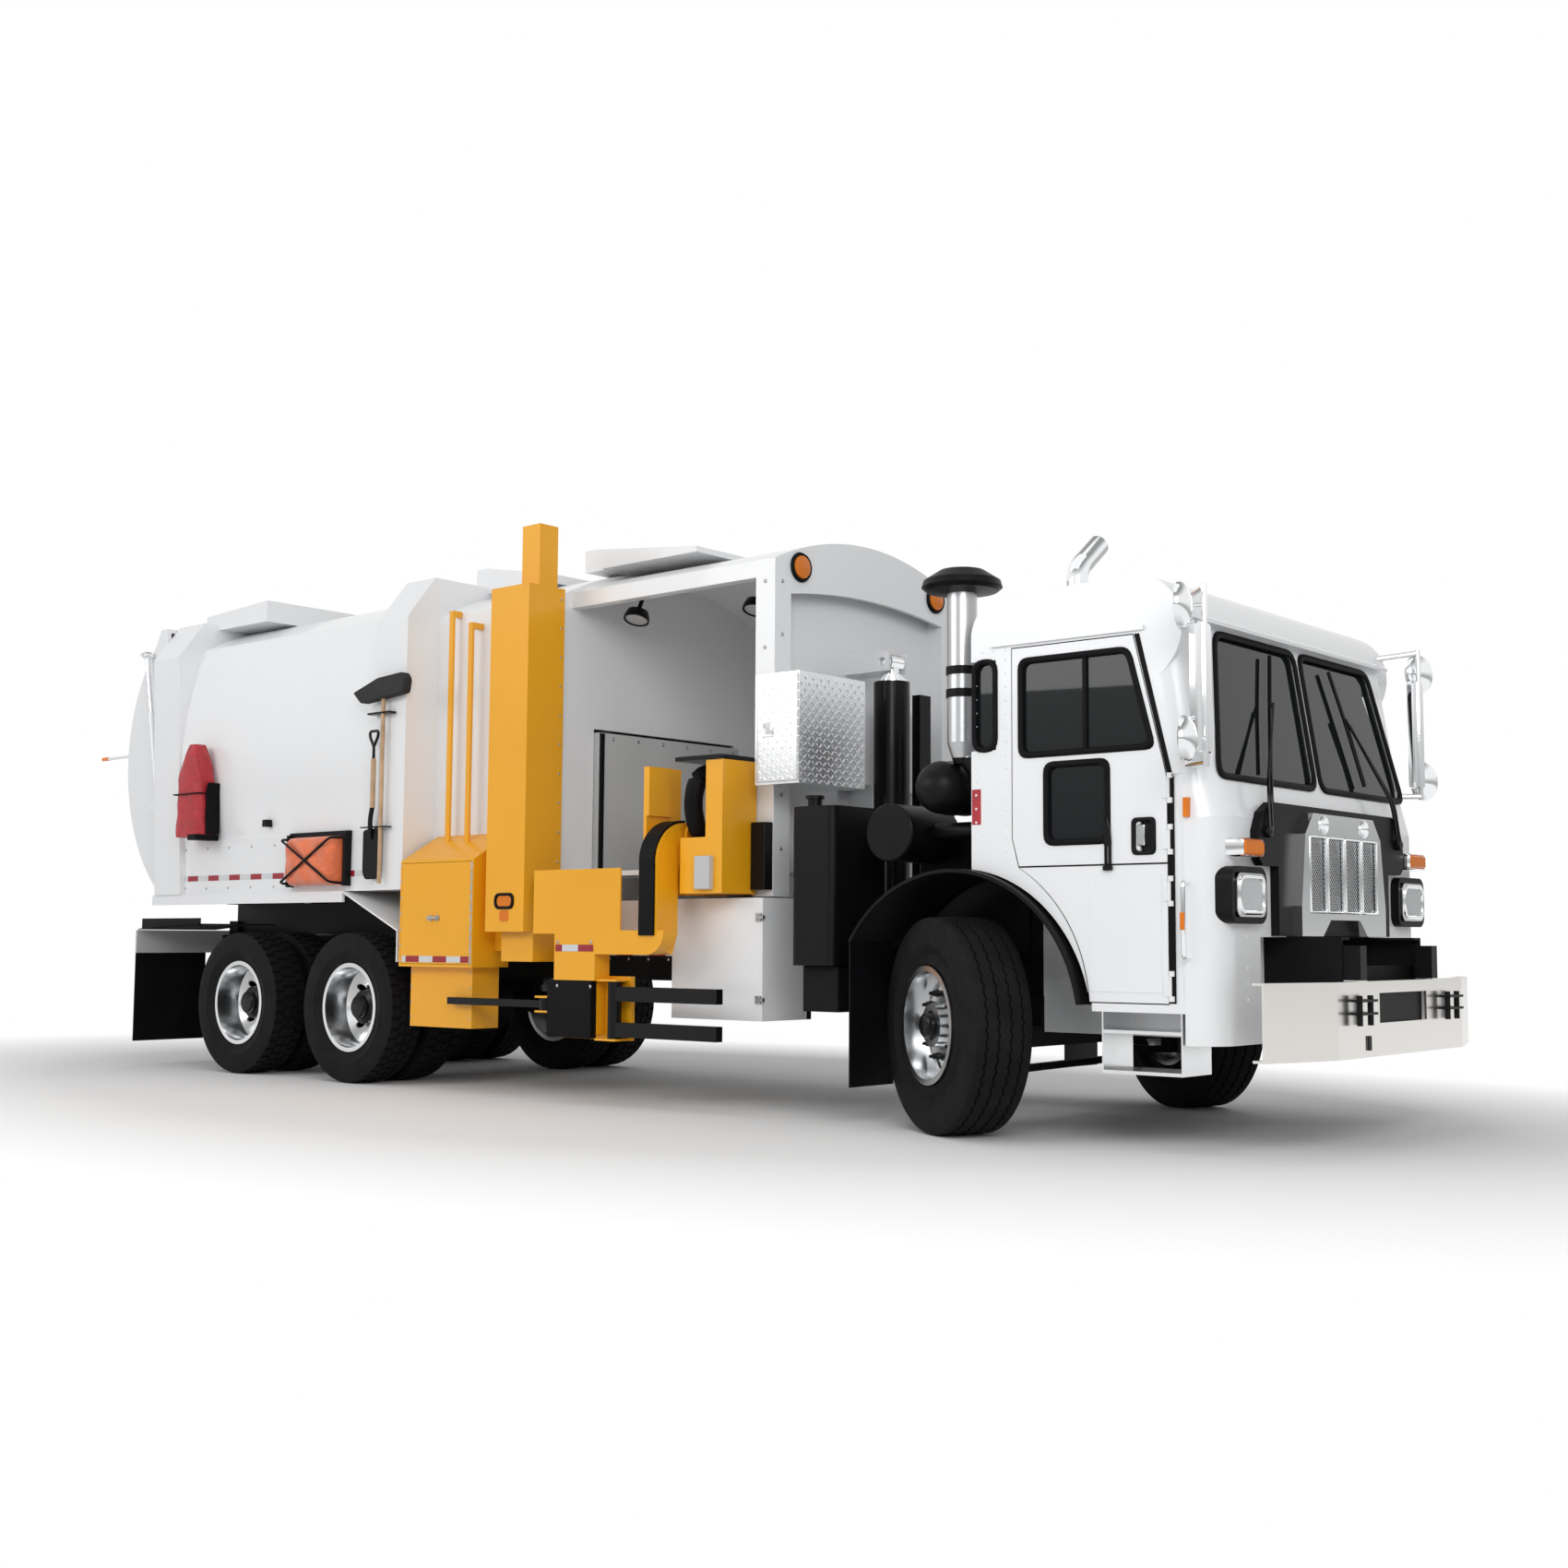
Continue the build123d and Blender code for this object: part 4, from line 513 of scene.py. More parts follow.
def lozenges(u0, u1, v0, v1, w, face, pitch=34):
    """Diamond plate: long domes on a grid, which lean 45 degrees to one side and the other in turn."""
    u, v = np.meshgrid(np.arange(u0 + pitch / 2, u1 - 10, pitch), np.arange(v0 + pitch / 2, v1 - 10, pitch))
    turn = np.where((np.round(u / pitch) + np.round(v / pitch)) % 2 == 0, 0.25, -0.25) * math.pi
    places = np.stack([u.ravel(), v.ravel(), np.full(u.size, w)], -1)
    return studs(places, face, 5.0, 2.4, 10, 3.0, turn.ravel())


def arc_through(a, b, c, steps=12):
    """Points of the circle through a, b and c, from a to c: its centre is as far from all three."""
    a, b, c = (np.asarray(p, float) for p in (a, b, c))
    middle = np.linalg.solve(2 * np.array([b - a, c - a]), np.array([b @ b - a @ a, c @ c - a @ a]))
    turns = np.unwrap([math.atan2(*(p - middle)[::-1]) for p in (a, b, c)])
    t = np.concatenate([np.linspace(turns[0], turns[1], steps)[:-1], np.linspace(turns[1], turns[2], steps)])
    return middle + np.linalg.norm(a - middle) * np.stack([np.cos(t), np.sin(t)], -1)


def row(start, end, count):
    """Equal steps from one place to another, both included."""
    return np.linspace(np.asarray(start, float), np.asarray(end, float), count)


print("helpers ready")

# %% [markdown]
# A truck tyre shows two things from a few steps away: the pattern of its tread and the soft line of
# its sidewall. The front tyres have ribs with zigzag grooves between them, and the rear ones have
# blocks. Both are one surface: rings of the section, whose tread columns follow the zigzag and sink
# into the grooves.

# %% Tyres
rim_flange, groove_depth = 300, 13
front_radius, front_width, front_bead = 550, 335, 152
rear_radius, rear_width, rear_bead = 510, 270, 98


def tyre_section(radius, width, bead):
    """Half of the sidewall as points (r, y): bead, bulge and shoulder, with a fine ridge."""
    half = width / 2
    shares = np.array([(0.66, 0.86), (0.735, 0.985), (0.745, 0.998), (0.76, 0.985), (0.84, 0.99),
                       (0.905, 0.965), (0.945, 0.935), (0.965, 0.925), (0.985, 0.90)])
    beads = [(rim_flange + 1, bead), (rim_flange + 14, bead + 10)]
    return np.concatenate([beads, shares * (radius, half)])


def tread_columns(width, grooves, groove_width):
    """Places across the tread with their sinks: each groove is four columns, down and up again."""
    half = width / 2
    columns = [(-0.87 * half, 0.0)]
    for middle in grooves:
        for shift, sink in ((-1, 0), (-0.7, groove_depth), (0.7, groove_depth), (1, 0)):
            columns.append((middle * half + shift * groove_width / 2, sink))
    columns.append((0.87 * half, 0.0))
    return np.array(columns)


def tyre(centre, axis, radius, width, bead, columns, angle, zigzag, sink):
    """Rings (angle, section) of radius and width about an axle: wall, tread, wall."""
    wall = tyre_section(radius, width, bead)
    across = columns[:, 0][None] + zigzag[:, None] * (np.abs(columns[:, 0]) < 0.8 * width / 2)[None]
    crown = 1 - 0.012 * (columns[:, 0] / (width / 2)) ** 2
    tread = radius * crown[None] - np.maximum(columns[:, 1][None], np.broadcast_to(sink, across.shape))
    near = np.broadcast_to(wall[None, :, :], (len(angle), *wall.shape))
    far = near[:, ::-1]
    rings_r = np.concatenate([near[..., 0], tread, far[..., 0]], 1)
    rings_y = np.concatenate([-near[..., 1], across, far[..., 1]], 1)[..., None]
    along = (rings_r * np.cos(angle)[:, None])[..., None]
    upward = (rings_r * np.sin(angle)[:, None])[..., None]
    axis = np.asarray(axis, float) / np.linalg.norm(axis)
    forward = np.cross(axis, (0, 0, 1))
    turned = along * forward + rings_y * axis + upward * np.array([0, 0, 1.0])
    return turned + np.asarray(centre, float), grid_faces(*rings_r.shape, True, True)


def rib_tyre(centre, axis):
    """Front tyre: four zigzag grooves and plain ribs."""
    periods, phases = 56, 4
    angle = np.linspace(0, 2 * math.pi, periods * phases, endpoint=False)
    zigzag = np.tile(np.array([-5.5, 0, 5.5, 0]), periods)
    columns = tread_columns(front_width, (-0.58, -0.2, 0.2, 0.58), 13)
    return tyre(centre, axis, front_radius, front_width, front_bead, columns, angle, zigzag, 0.0)


def block_tyre(centre, axis):
    """Rear tyre: three grooves, and cross grooves that turn the ribs into blocks."""
    periods = 44
    phase = np.array([0.0, 0.04, 0.3, 0.34, 0.5, 0.54, 0.8, 0.84])
    angle = ((np.arange(periods)[:, None] + phase[None]) / periods).reshape(-1) * 2 * math.pi
    zigzag = np.tile(np.array([-3, -3, -3, 3, 3, 3, 3, -3.0]), periods)
    columns = tread_columns(rear_width, (-0.42, 0.0, 0.42), 12)
    side_cut = np.tile(np.array([0, 1, 1, 0, 0, 0, 0, 0.0]), periods) * groove_depth
    middle_cut = np.tile(np.array([0, 0, 0, 0, 0, 1, 1, 0.0]), periods) * groove_depth
    outer = (np.abs(columns[:, 0]) > 0.4 * rear_width / 2)[None]
    sink = np.where(outer, side_cut[:, None], middle_cut[:, None])
    return tyre(centre, axis, rear_radius, rear_width, rear_bead, columns, angle, zigzag, sink)


steer_axis = np.array([0.47486, 0.88006, 0.0])
front_centres = {"left": (3468.85, 1087.61, front_radius), "right": (3331.15, -1087.61, front_radius)}
rear_axles = {"second": -1691.5, "third": -3038.5}
outwards = {"left": 1, "right": -1}
for end, centre in front_centres.items():
    add("tyre_front_" + end, [rib_tyre(centre, steer_axis)], tyre_rubber, "front_wheel_" + end,
        30, "front_tyre_" + end)
for axle, x in rear_axles.items():
    for end, sign in outwards.items():
        pair = [block_tyre((x, sign * y, rear_radius), (0, 1, 0)) for y in (745, 1085)]
        add("tyres_" + axle + "_" + end, pair, tyre_rubber, axle + "_wheels_" + end, 30,
            axle + "_tyres_" + end)

# %% [markdown]
# The rims are polished metal and their middle is black: a hub with its cap, and a ring of long nuts
# over the studs. Each hub is a lathe profile and the nuts are one small shape at ten places.


# %% Hubs and wheel nuts
def hub(centre, axis, reach, cap_radius):
    """Hub cap profile (r, h) from the disc outwards, closed on the axis, with a stepped end."""
    profile = [(0, 60), (cap_radius + 38, 60), (cap_radius + 38, reach - 55), (cap_radius + 22, reach - 48),
               (cap_radius, reach - 40), (cap_radius, reach - 10), (cap_radius - 12, reach),
               (cap_radius * 0.45, reach + 2), (0, reach + 2)]
    return lathe(profile, centre, axis, 36)


def nuts(centre, axis, seat, length, ring=168, count=10):
    """Wheel nuts: a lathe profile at equal angles on a ring about the axle."""
    axis = np.asarray(axis, float) / np.linalg.norm(axis)
    forward = np.cross(axis, (0, 0, 1))
    profile = [(0, -4), (21, -4), (21, 5), (16, 8), (16, 26), (9, 29), (9, length), (0, length)]
    parts = []
    for angle in np.linspace(0, 2 * math.pi, count, endpoint=False):
        place = (np.asarray(centre, float) + axis * seat
                 + ring * (math.cos(angle) * forward + math.sin(angle) * np.array([0, 0, 1])))
        parts.append(lathe(profile, place, axis, 12))
    return joined(parts)


for end, centre in front_centres.items():
    out = steer_axis * outwards[end]
    add("hub_front_" + end, [hub(centre, out, 185, 62), nuts(centre, out, 78, 46)], black,
        "front_wheel_" + end, 35)
for axle, x in rear_axles.items():
    for end, sign in outwards.items():
        centre = (x, sign * 915, rear_radius)
        parts = [hub(centre, (0, sign, 0), 215, 78), nuts(centre, (0, sign, 0), 16, 44)]
        add("hub_" + axle + "_" + end, parts, black, axle + "_wheels_" + end, 35)

# %% [markdown]
# Every window sits in a black rubber gasket, and a bar parts the upper window of each door. A gasket
# is a half round section carried round the window's rounded outline. The panes of the doors are thin
# slabs inside it.

# %% Windows and gaskets
upper_window = [(3790, 1890), (4535, 1890), (4405, 2365), (3790, 2365)]
lower_window = rectangle(3937, 4288, 1453, 1838)
quarter_window = rectangle(3512, 3638, 1935, 2380)
glass_foot, glass_top, glass_face, glass_lean = 1735, 2470, 4815, 120


def glass_front(z):
    """How far forward the windshield's face lies at a height: it leans back evenly."""
    return glass_face - (z - glass_foot) / (glass_top - glass_foot) * glass_lean


for side, door_body in (("right", "upper_right_door"), ("left", "whole_left_door")):
    windows = (upper_window, lower_window)
    strips = [gasket(window, 16, 18, (60, 40), 1160, 1184, side) for window in windows]
    strips.append(block(4150, 4172, 1905, 2350, 1156, 1172, side))
    panes = [slab(rounded(shrunk(window, 4), 42), 1150, 1158, side, 0.5) for window in windows]
    add("window_gaskets_" + side, strips, rubber, door_body)
    add("window_panes_" + side, panes, cab_shade_glass, door_body)
strips = []
for sign in (-1, 1):
    pane = np.array([(30, 1745), (1060, 1745), (870, 2455), (30, 2455)]) * (sign, 1)
    points, faces = gasket(pane, 14, 20, (85, 60), 0, 16, "front")
    points[:, 0] += glass_front(points[:, 2])
    strips.append((points, faces))
add("windshield_gaskets", strips, rubber, "chassis")
strips = [gasket(quarter_window, 16, 14, (70, 50), 1160, 1186, side) for side in sides]
add("quarter_gaskets", strips, rubber, "chassis")

# %% [markdown]
# The doors show dark gaps, a handle in a recess, a latch across the seam of the right door's halves
# and a pale panel line near their edges. Small parts like these are slabs with softened edges, and
# tubes carried along bent paths.

# %% Door fittings
edge_curve = arc_through((3778, 1340), (4045, 1090), (4178, 690))
door_edge = np.concatenate([[(4605, 690), (4605, 1740), (4431, 2430), (3740, 2430), (3740, 1480)],
                            edge_curve])
seals = []
for side in sides:
    seals.append(ring_slab(shrunk(door_edge, -5.7), shrunk(door_edge, -0.3), 1128, 1166, side))
    seals.append(block(4612, 4640, 690, 1742, 1160.2, 1169, side, 1))
    seals.append(slab([(4612, 1744), (4640, 1744), (4468, 2434), (4440, 2434)], 1169, 1173, side, 1))
add("door_seals", seals, rubber, "chassis")
seam = block(3790, 4598, 1336.4, 1343.6, 1130, 1172, "right", 0.5)
add("door_seam_seal", [seam], rubber, "upper_right_door")
for side, body in (("right", "lower_right_door"), ("left", "whole_left_door")):
    panel = block(4185, 4575, 738, 1290, 1170.2, 1173, side, 1)
    add("door_panel_" + side, [panel], white, body)
for side, body in (("right", "upper_right_door"), ("left", "whole_left_door")):
    grip = [frame_strip(rounded(rectangle(4415, 4548, 1380, 1560), 30),
                        rounded(rectangle(4440, 4524, 1402, 1538), 18), 1162, 1182, side),
            block(4436, 4528, 1398, 1542, 1149, 1152, side)]
    add("door_handle_frame_" + side, grip, plastic, body)
    paddle = slab(rounded(rectangle(4448, 4488, 1425, 1525), 8), 1152, 1176, side, 3)
    add("door_handle_" + side, [paddle], chrome, body)
latch = [slab(rounded([(4268, 1432), (4308, 1432), (4302, 1520), (4288, 1572), (4276, 1520)], 10),
              1168, 1186, "right", 3)]
latch += [block(u, u + 12, 1330, 1436, 1168, 1184, "right", 3) for u in (4272, 4294)]
latch.append(block(4266, 4312, 1312, 1334, 1168, 1190, "right", 3))
add("door_seam_latch", latch, black, "upper_right_door")
cab_tapes = [block(3493, 3549, 1558, 1737, 1168, 1171.5, side) for side in sides]
add("cab_tape", cab_tapes, red_vinyl, "chassis")

# %% [markdown]
# Lines of rivets run along the cab's seams, and rows of bolts along the yellow column and the
# container. All rivets of one body are one mesh, made by adding the same small dome to every place.

# %% Rivets and bolts
side_rows = np.concatenate([row((3520, 1500, 1169.5), (3520, 2400, 1169.5), 14),
                            row((3700, 1420, 1169.5), (3700, 2380, 1169.5), 15),
                            row((3560, 2430, 1169.5), (3700, 2430, 1169.5), 3)])
front_rows = np.concatenate([row((-900, 1560, 4859.5), (900, 1560, 4859.5), 2),
                             row((880, 560, 4859.5), (880, 1000, 4859.5), 7),
                             row((-880, 560, 4859.5), (-880, 1000, 4859.5), 7)])
cab_rivets = [studs(side_rows, side, 7, 4) for side in sides] + [studs(front_rows, "front", 7, 4)]
add("cab_rivets", cab_rivets, white, "chassis")

locker_rows = np.concatenate([row((-1020, 830, 1279.5), (-1020, 1450, 1279.5), 7),
                              row((-1000, 470, 1199.5), (-1000, 760, 1199.5), 4),
                              row((-400, 470, 1199.5), (-400, 760, 1199.5), 4)])
column_bolts = [studs(row((-1012, 1090, 195.5), (-1012, 3120, 195.5), 12), "front", 8, 6),
                studs(locker_rows, "right", 7, 4)]
add("column_bolts", column_bolts, steel, "tipping_body")
rail_rows = np.concatenate([row((-3800, v, 1194), (-1450, v, 1194), 9) for v in (1640, 1345)])
body_bolts = [studs(rail_rows, side, 10, 7) for side in sides]
body_bolts += [studs(row((-360, 860, 984.5), (1160, 860, 984.5), 10), "right", 9, 6),
               studs(row((-815, 1500, 1889.5), (-815, 3060, 1889.5), 6), "front", 12, 8),
               studs(row((1815, 1500, 879.5), (1815, 3060, 879.5), 5), "right", 12, 8)]
add("body_bolts", body_bolts, steel, "tipping_body")
packer_bolts = studs(np.concatenate([row((-640, 1460, 199.5), (-640, 2260, 199.5), 8),
                                     row((-560, 2270, 199.5), (580, 2270, 199.5), 6)]), "front", 12, 8)
add("packer_bolts", [packer_bolts], steel, "packer_head")

# %% [markdown]
# The front of the cab carries the bright grille, whose four panels are fine mesh, and two lamps on
# each side. A headlamp is a bezel with a fluted lens, and the turn signal stands on a bright base.


# %% Grille and lamps
def wires(u0, u1, v0, v1, low, high, face, pitch=22, width=3.2):
    """Crossed flat wires: lines v = s u + k for slopes s of 1 and -1, cut where they leave the panel."""
    parts = []
    half = width * 0.7
    for slope in (1, -1):
        least, most = sorted((slope * u0, slope * u1))
        for k in np.arange(v0 - most + pitch, v1 - least, pitch):
            at_ends = sorted([(v0 - k) / slope, (v1 - k) / slope])
            start, end = max(u0, at_ends[0]), min(u1, at_ends[1])
            if end - start > width:
                corners = [(start, slope * start + k - half), (end, slope * end + k - half),
                           (end, slope * end + k + half), (start, slope * start + k + half)]
                parts.append(slab(corners, low, high, face, 0.8))
    return parts


backs, crossed, trim = [], [], []
for y in (-300, -100, 100, 300):
    backs.append(block(y - 92, y + 92, 1122, 1491, 4926.5, 4930, "front", 0.5))
    crossed += wires(y - 92, y + 92, 1124, 1489, 4930, 4934, "front")
    trim.append(gasket(rectangle(y - 97, y + 97, 1116, 1497), 0, 12, (10, 8), 4938, 4956, "front"))
add("grille_back", backs, plastic, "chassis")
add("grille_mesh", crossed, chrome, "chassis")
dome = [(0, -10), (46, -10), (46, 4), (38, 12), (20, 20), (0, 23)]
trim += [lathe(dome, (4950, y, 1552), (1, 0, 0), 24) for y in (-235, 235)]
add("grille_trim", trim, chrome, "chassis")

lenses, bezels, signals, signal_bases = [], [], [], []
for sign in (-1, 1):
    middle = sign * 939.5
    pane = rectangle(middle - 105, middle + 105, 1120, 1266)
    rim = rectangle(middle - 128, middle + 128, 1100, 1286)
    signal = rectangle(sign * 862, sign * 1050, 1380, 1444)
    lenses.append(slab(rounded(pane, 40), 4906, 4916, "front", 4))
    bezels.append(gasket(rim, 0, 22, (50, 38), 4912, 4928, "front"))
    signals.append(slab(rounded(signal, 12), 4931, 4946, "front", 5))
    signal_bases.append(gasket(shrunk(signal, -14), 0, 18, (20, 12), 4850, 4938, "front"))
add("headlamp_lenses", lenses, clear_lens, "chassis")
add("headlamp_bezels", bezels, chrome, "chassis")
add("turn_lenses", signals, amber_lens, "chassis")
add("turn_bases", signal_bases, chrome, "chassis")
add("bumper_recess", [block(-292, 292, 588, 742, 5204, 5212, "front")], plastic, "chassis")
reflectors = [block(4699, 4721, 1030, 1110, 1222, 1230, side, 2) for side in sides]
add("handle_reflectors", reflectors, amber_lens, "chassis")

# %% [markdown]
# Two pairs of wiper arms reach from the shroud's corners up over the windshield. Each is a thin tube
# on a bent path that stays in front of the leaning glass, and each pair shares a thicker blade.

# %% Wipers
wipers = []
for sign in (-1, 1):
    wipers.append(lathe([(0, -25), (26, -25), (30, 0), (24, 16), (0, 20)], (4915, sign * 760, 1495),
                        (1, 0, 0), 16))
    for shift, y, z in ((0, 420, 2150), (34, 460, 2120)):
        path = bent([(4925, sign * (760 - shift), 1500), (4905, sign * (735 - shift), 1720),
                     (glass_front(z) + 34, sign * y, z)], 60)
        wipers.append(pipe(path, 8, 8))
    blade = bent([(glass_front(z) + gap, sign * y, z)
                  for y, z, gap in ((545, 1800, 20), (440, 2130, 22), (340, 2400, 20))], 80)
    wipers.append(pipe(blade, 11, 6))
add("wipers", wipers, black, "chassis")
print("wiper parts", len(wipers))

# %% [markdown]
# Safety tape runs along the container, the side sill, the yellow locker and the arm. It is a thin
# strip set just off the metal, and the finish itself makes the red and silver blocks.

# %% Safety tape
strips = [block(-3813, -1430, 1400, 1440, 1194, 1197.5, side, 0.5) for side in sides]
strips += [block(-368, 1180, 880, 915, 984.6, 987.5, side, 0.5) for side in sides]
strips.append(block(-1000, -322, 826, 866, 1279.8, 1282.5, "right", 0.5))
add("body_tape", strips, tape, "tipping_body")
arm_strip = block(520, 850, 905, 945, 1299.8, 1302.5, "right", 0.5)
add("arm_tape", [arm_strip], tape, "arm_lift_body")
print("tape strips", len(strips) + 1)

# %% [markdown]
# Under the hopper's arch sit two round amber lamps, and inside its canopy two work lights. The
# packer's edge has a black rubber wiper. The column has an amber lamp in a recess near its foot, with
# an oval reflector below it.

# %% Body lamps and seals
lamps, rims = [], []
for y in (-660, 660):
    centre = (1888, y, 3165)
    rims.append(lathe([(0, 0), (86, 0), (90, 10), (80, 26), (70, 18), (0, 16)], centre, (1, 0, 0), 36))
    lamps.append(lathe([(0, 16), (70, 16), (67, 26), (40, 33), (0, 35)], centre, (1, 0, 0), 36))
column_middle = 15
for z, height, wide in ((1210, 40, 1.0), (1120, 34, 0.7)):
    oval = rounded(rectangle(-62, 62, z - height, z + height), 34) * (wide, 1) + (column_middle, 0)
    lamps.append(slab(oval, 1278, 1286, "right", 3))
recess = rectangle(-92, 92, 1160, 1262) + (column_middle, 0)
rims.append(gasket(recess, 0, 20, (46, 34), 1278, 1292, "right"))
add("body_amber_lamps", lamps, amber_lens, "tipping_body")
add("body_lamp_rims", rims, rubber, "tipping_body")
works, glasses = [], []
work_light_up = (-0.1, 0.35, 1)
for x, y, z in ((420, -560, 3080), (1330, -420, 3060)):
    works.append(lathe([(0, 0), (70, 0), (84, -40), (84, -62), (74, -62), (74, -50), (0, -50)], (x, y, z),
                       work_light_up, 28))
    works.append(pipe(bent([(x, y, z), (x + 10, y + 20, z + 70), (x + 10, y + 60, z + 180)], 20), 14, 8))
    glasses.append(lathe([(0, -48), (72, -48), (70, -56), (0, -58)], (x, y, z), work_light_up, 28))
add("work_lamps", works, black, "tipping_body")
add("work_lamp_lenses", glasses, clear_lens, "tipping_body")
packer_edge = block(-674, -640, 1404, 2300, 199.5, 216, "front", 4)
add("packer_seal", [packer_edge], rubber, "packer_head")
print("body lamps", len(lamps))

# %% [markdown]
# The toolbox is diamond plate, and its door has a paddle latch in a square recess and a piano hinge.
# The white locker has two bright latches, and the yellow one a row of hinge knuckles and a small
# handle. Two small boxes and the side camera are plain blocks.


# %% Latches and hinges
def hinge_knuckles(x, y, low, high, count, radius):
    """Short barrels in a line: equal lengths with gaps between them."""
    edges = np.linspace(low, high, count + 1)
    parts = []
    for start, end in zip(edges, edges[1:]):
        gap = (end - start) * 0.06
        parts.append(lathe([(0, start + gap), (radius, start + gap), (radius, end - gap), (0, end - gap)],
                           (x, y, 0), (0, 0, 1), 10))
    return parts


add("toolbox_hinge", hinge_knuckles(2210, -1042, 1862, 2468, 12, 6), steel, "tipping_body")
latch = [gasket(rectangle(1950, 2030, 2120, 2210), 0, 12, (10, 8), 1039.5, 1046, "right"),
         slab(rounded(rectangle(1968, 2012, 2135, 2195), 8), 1039, 1045, "right", 2)]
add("toolbox_latch", latch, chrome, "toolbox_lid")
front_plate = lozenges(-1040, -456, 1850, 2480, 2219.8, "front")
add("toolbox_plate", [front_plate], polished, "tipping_body")
door_plate = lozenges(1908, 2204, 1868, 2462, 1039.8, "right")
add("toolbox_door_plate", [door_plate], polished, "toolbox_lid")
cabinet = block(1776, 1884, 1262, 1649, 881, 950, "right", 4)
add("valve_cabinet", [cabinet], black, "tipping_body")
switch_box = block(1584, 1703, 1262, 1451, 1180.2, 1216, "right", 4)
add("arm_switch_box", [switch_box], grey, "arm_slide_body")
side_camera = block(-2698, -2646, 1772, 1824, 1200, 1262, "right", 6)
add("side_camera", [side_camera], black, "tipping_body")
add("locker_hinge", hinge_knuckles(-304, -1280, 815, 1468, 10, 8), steel, "lift_locker_lid")
handle = [pipe(bent([(-640, -1279, 1110), (-640, -1300, 1110), (-700, -1300, 1110), (-720, -1300, 1110)],
                    10), 9, 8)]
handle += [lathe([(0, 0), (20, 0), (20, 8), (0, 10)], (x, -1279, 1110), (0, -1, 0), 16) for x in (-640, -710)]
add("lift_locker_handle", handle, steel, "lift_locker_lid")
clips = []
for z in (640, 1105):
    clips.append(block(1862, 1902, z - 22, z + 22, 984.5, 1000, "right", 3))
    clips.append(block(1874, 1926, z - 10, z + 10, 984.5, 1010, "right", 3))
add("white_locker_latches", clips, steel, "tipping_body")

# %% [markdown]
# The mirrors are two bright round shells and a tall flat one on each side. The round ones bulge
# towards the road, so each gets a lathe profile like a shallow bowl, with a mirror face behind.


# %% Mirrors
def bowl(centre, axis, radius, depth):
    """A shallow bowl: r = R sin t, h = D cos t, closed by a flat face behind it."""
    t = np.linspace(0, math.pi / 2, 10)
    profile = np.stack([radius * np.sin(t), depth * np.cos(t)], -1)
    profile = np.concatenate([profile, [(radius, -6), (radius - 6, -10), (0, -10)]])
    return lathe(profile, centre, axis, 36)


heads = []
for sign in (-1, 1):
    tube_x, tube_y = 4850, sign * 1240
    heads.append(pipe(row((tube_x, tube_y, 1770), (tube_x, tube_y, 2620), 6), 14, 12))
    heads.append(pipe(row((4600, sign * 1080, 2560), (tube_x, tube_y, 2600), 4), 16, 12))
    heads.append(pipe(row((4700, sign * 1150, 1790), (tube_x, tube_y, 1790), 4), 16, 12))
    for x, z in ((4800, 2500), (4815, 1886)):
        heads.append(bowl((x, sign * 1365, z), (0.966, -sign * 0.259, 0), 112, 52))
        heads.append(pipe(row((x, sign * 1340, z), (tube_x, tube_y, z + 20), 4), 10, 10))
    heads.append(slab(rounded(rectangle(tube_y - 76, tube_y + 76, 1834, 2441), 30), 4814, 4848, "front", 8))
    grab = [(4710, sign * y, z) for y, z in ((1168, 900), (1215, 900), (1215, 1250), (1168, 1250))]
    heads.append(pipe(bent(grab, 30), 11, 12))
add("mirror_set", heads, chrome, "chassis", replaces="mirrors")
print("mirror parts", len(heads))

# %% [markdown]
# The intake's tube is held by two black straps and its cap gets a crown. The filter gets an end cap
# and the air tank a band, and black shields stand beside the engine and below the oil tank.

# %% Intake straps and shields
straps = [lathe([(79, z - 22), (86, z - 22), (86, z + 22), (79, z + 22), (79, z - 22)],
                (3260, -930, 0), (0, 0, 1), 40) for z in (2270, 2390)]
straps.append(lathe([(0, 2928), (60, 2930), (110, 2926), (150, 2905), (0, 2905)],
                    (3260, -930, 0), (0, 0, 1), 48))
straps.append(lathe([(0, 0), (148, 0), (156, 8), (156, 26), (148, 34), (0, 34)],
                    (2850, -1000, 1550), (0, -1, 0), 48))
straps.append(lathe([(141, -12), (145, -12), (145, 12), (141, 12), (141, -12)],
                    (3150, -880, 1780), (0, 1, 0), 40))
add("intake_fittings", straps, plastic, "chassis")
shields = [block(2640, 3460, 860, 1560, 466, 474, side, 2) for side in sides]
shields.append(block(2290, 2540, 590, 838, 680, 1080, "right", 6))
add("engine_side_shields", shields, frame_black, "chassis")
print("fittings", len(straps) + len(shields))

# %% [markdown]
# The extinguisher's cover is red vinyl that hangs from a hook: wide at its foot, drawn in at its top
# and creased. It is a closed surface round an upright line, whose section is a rounded box, and the
# creases are waves that grow towards the top.


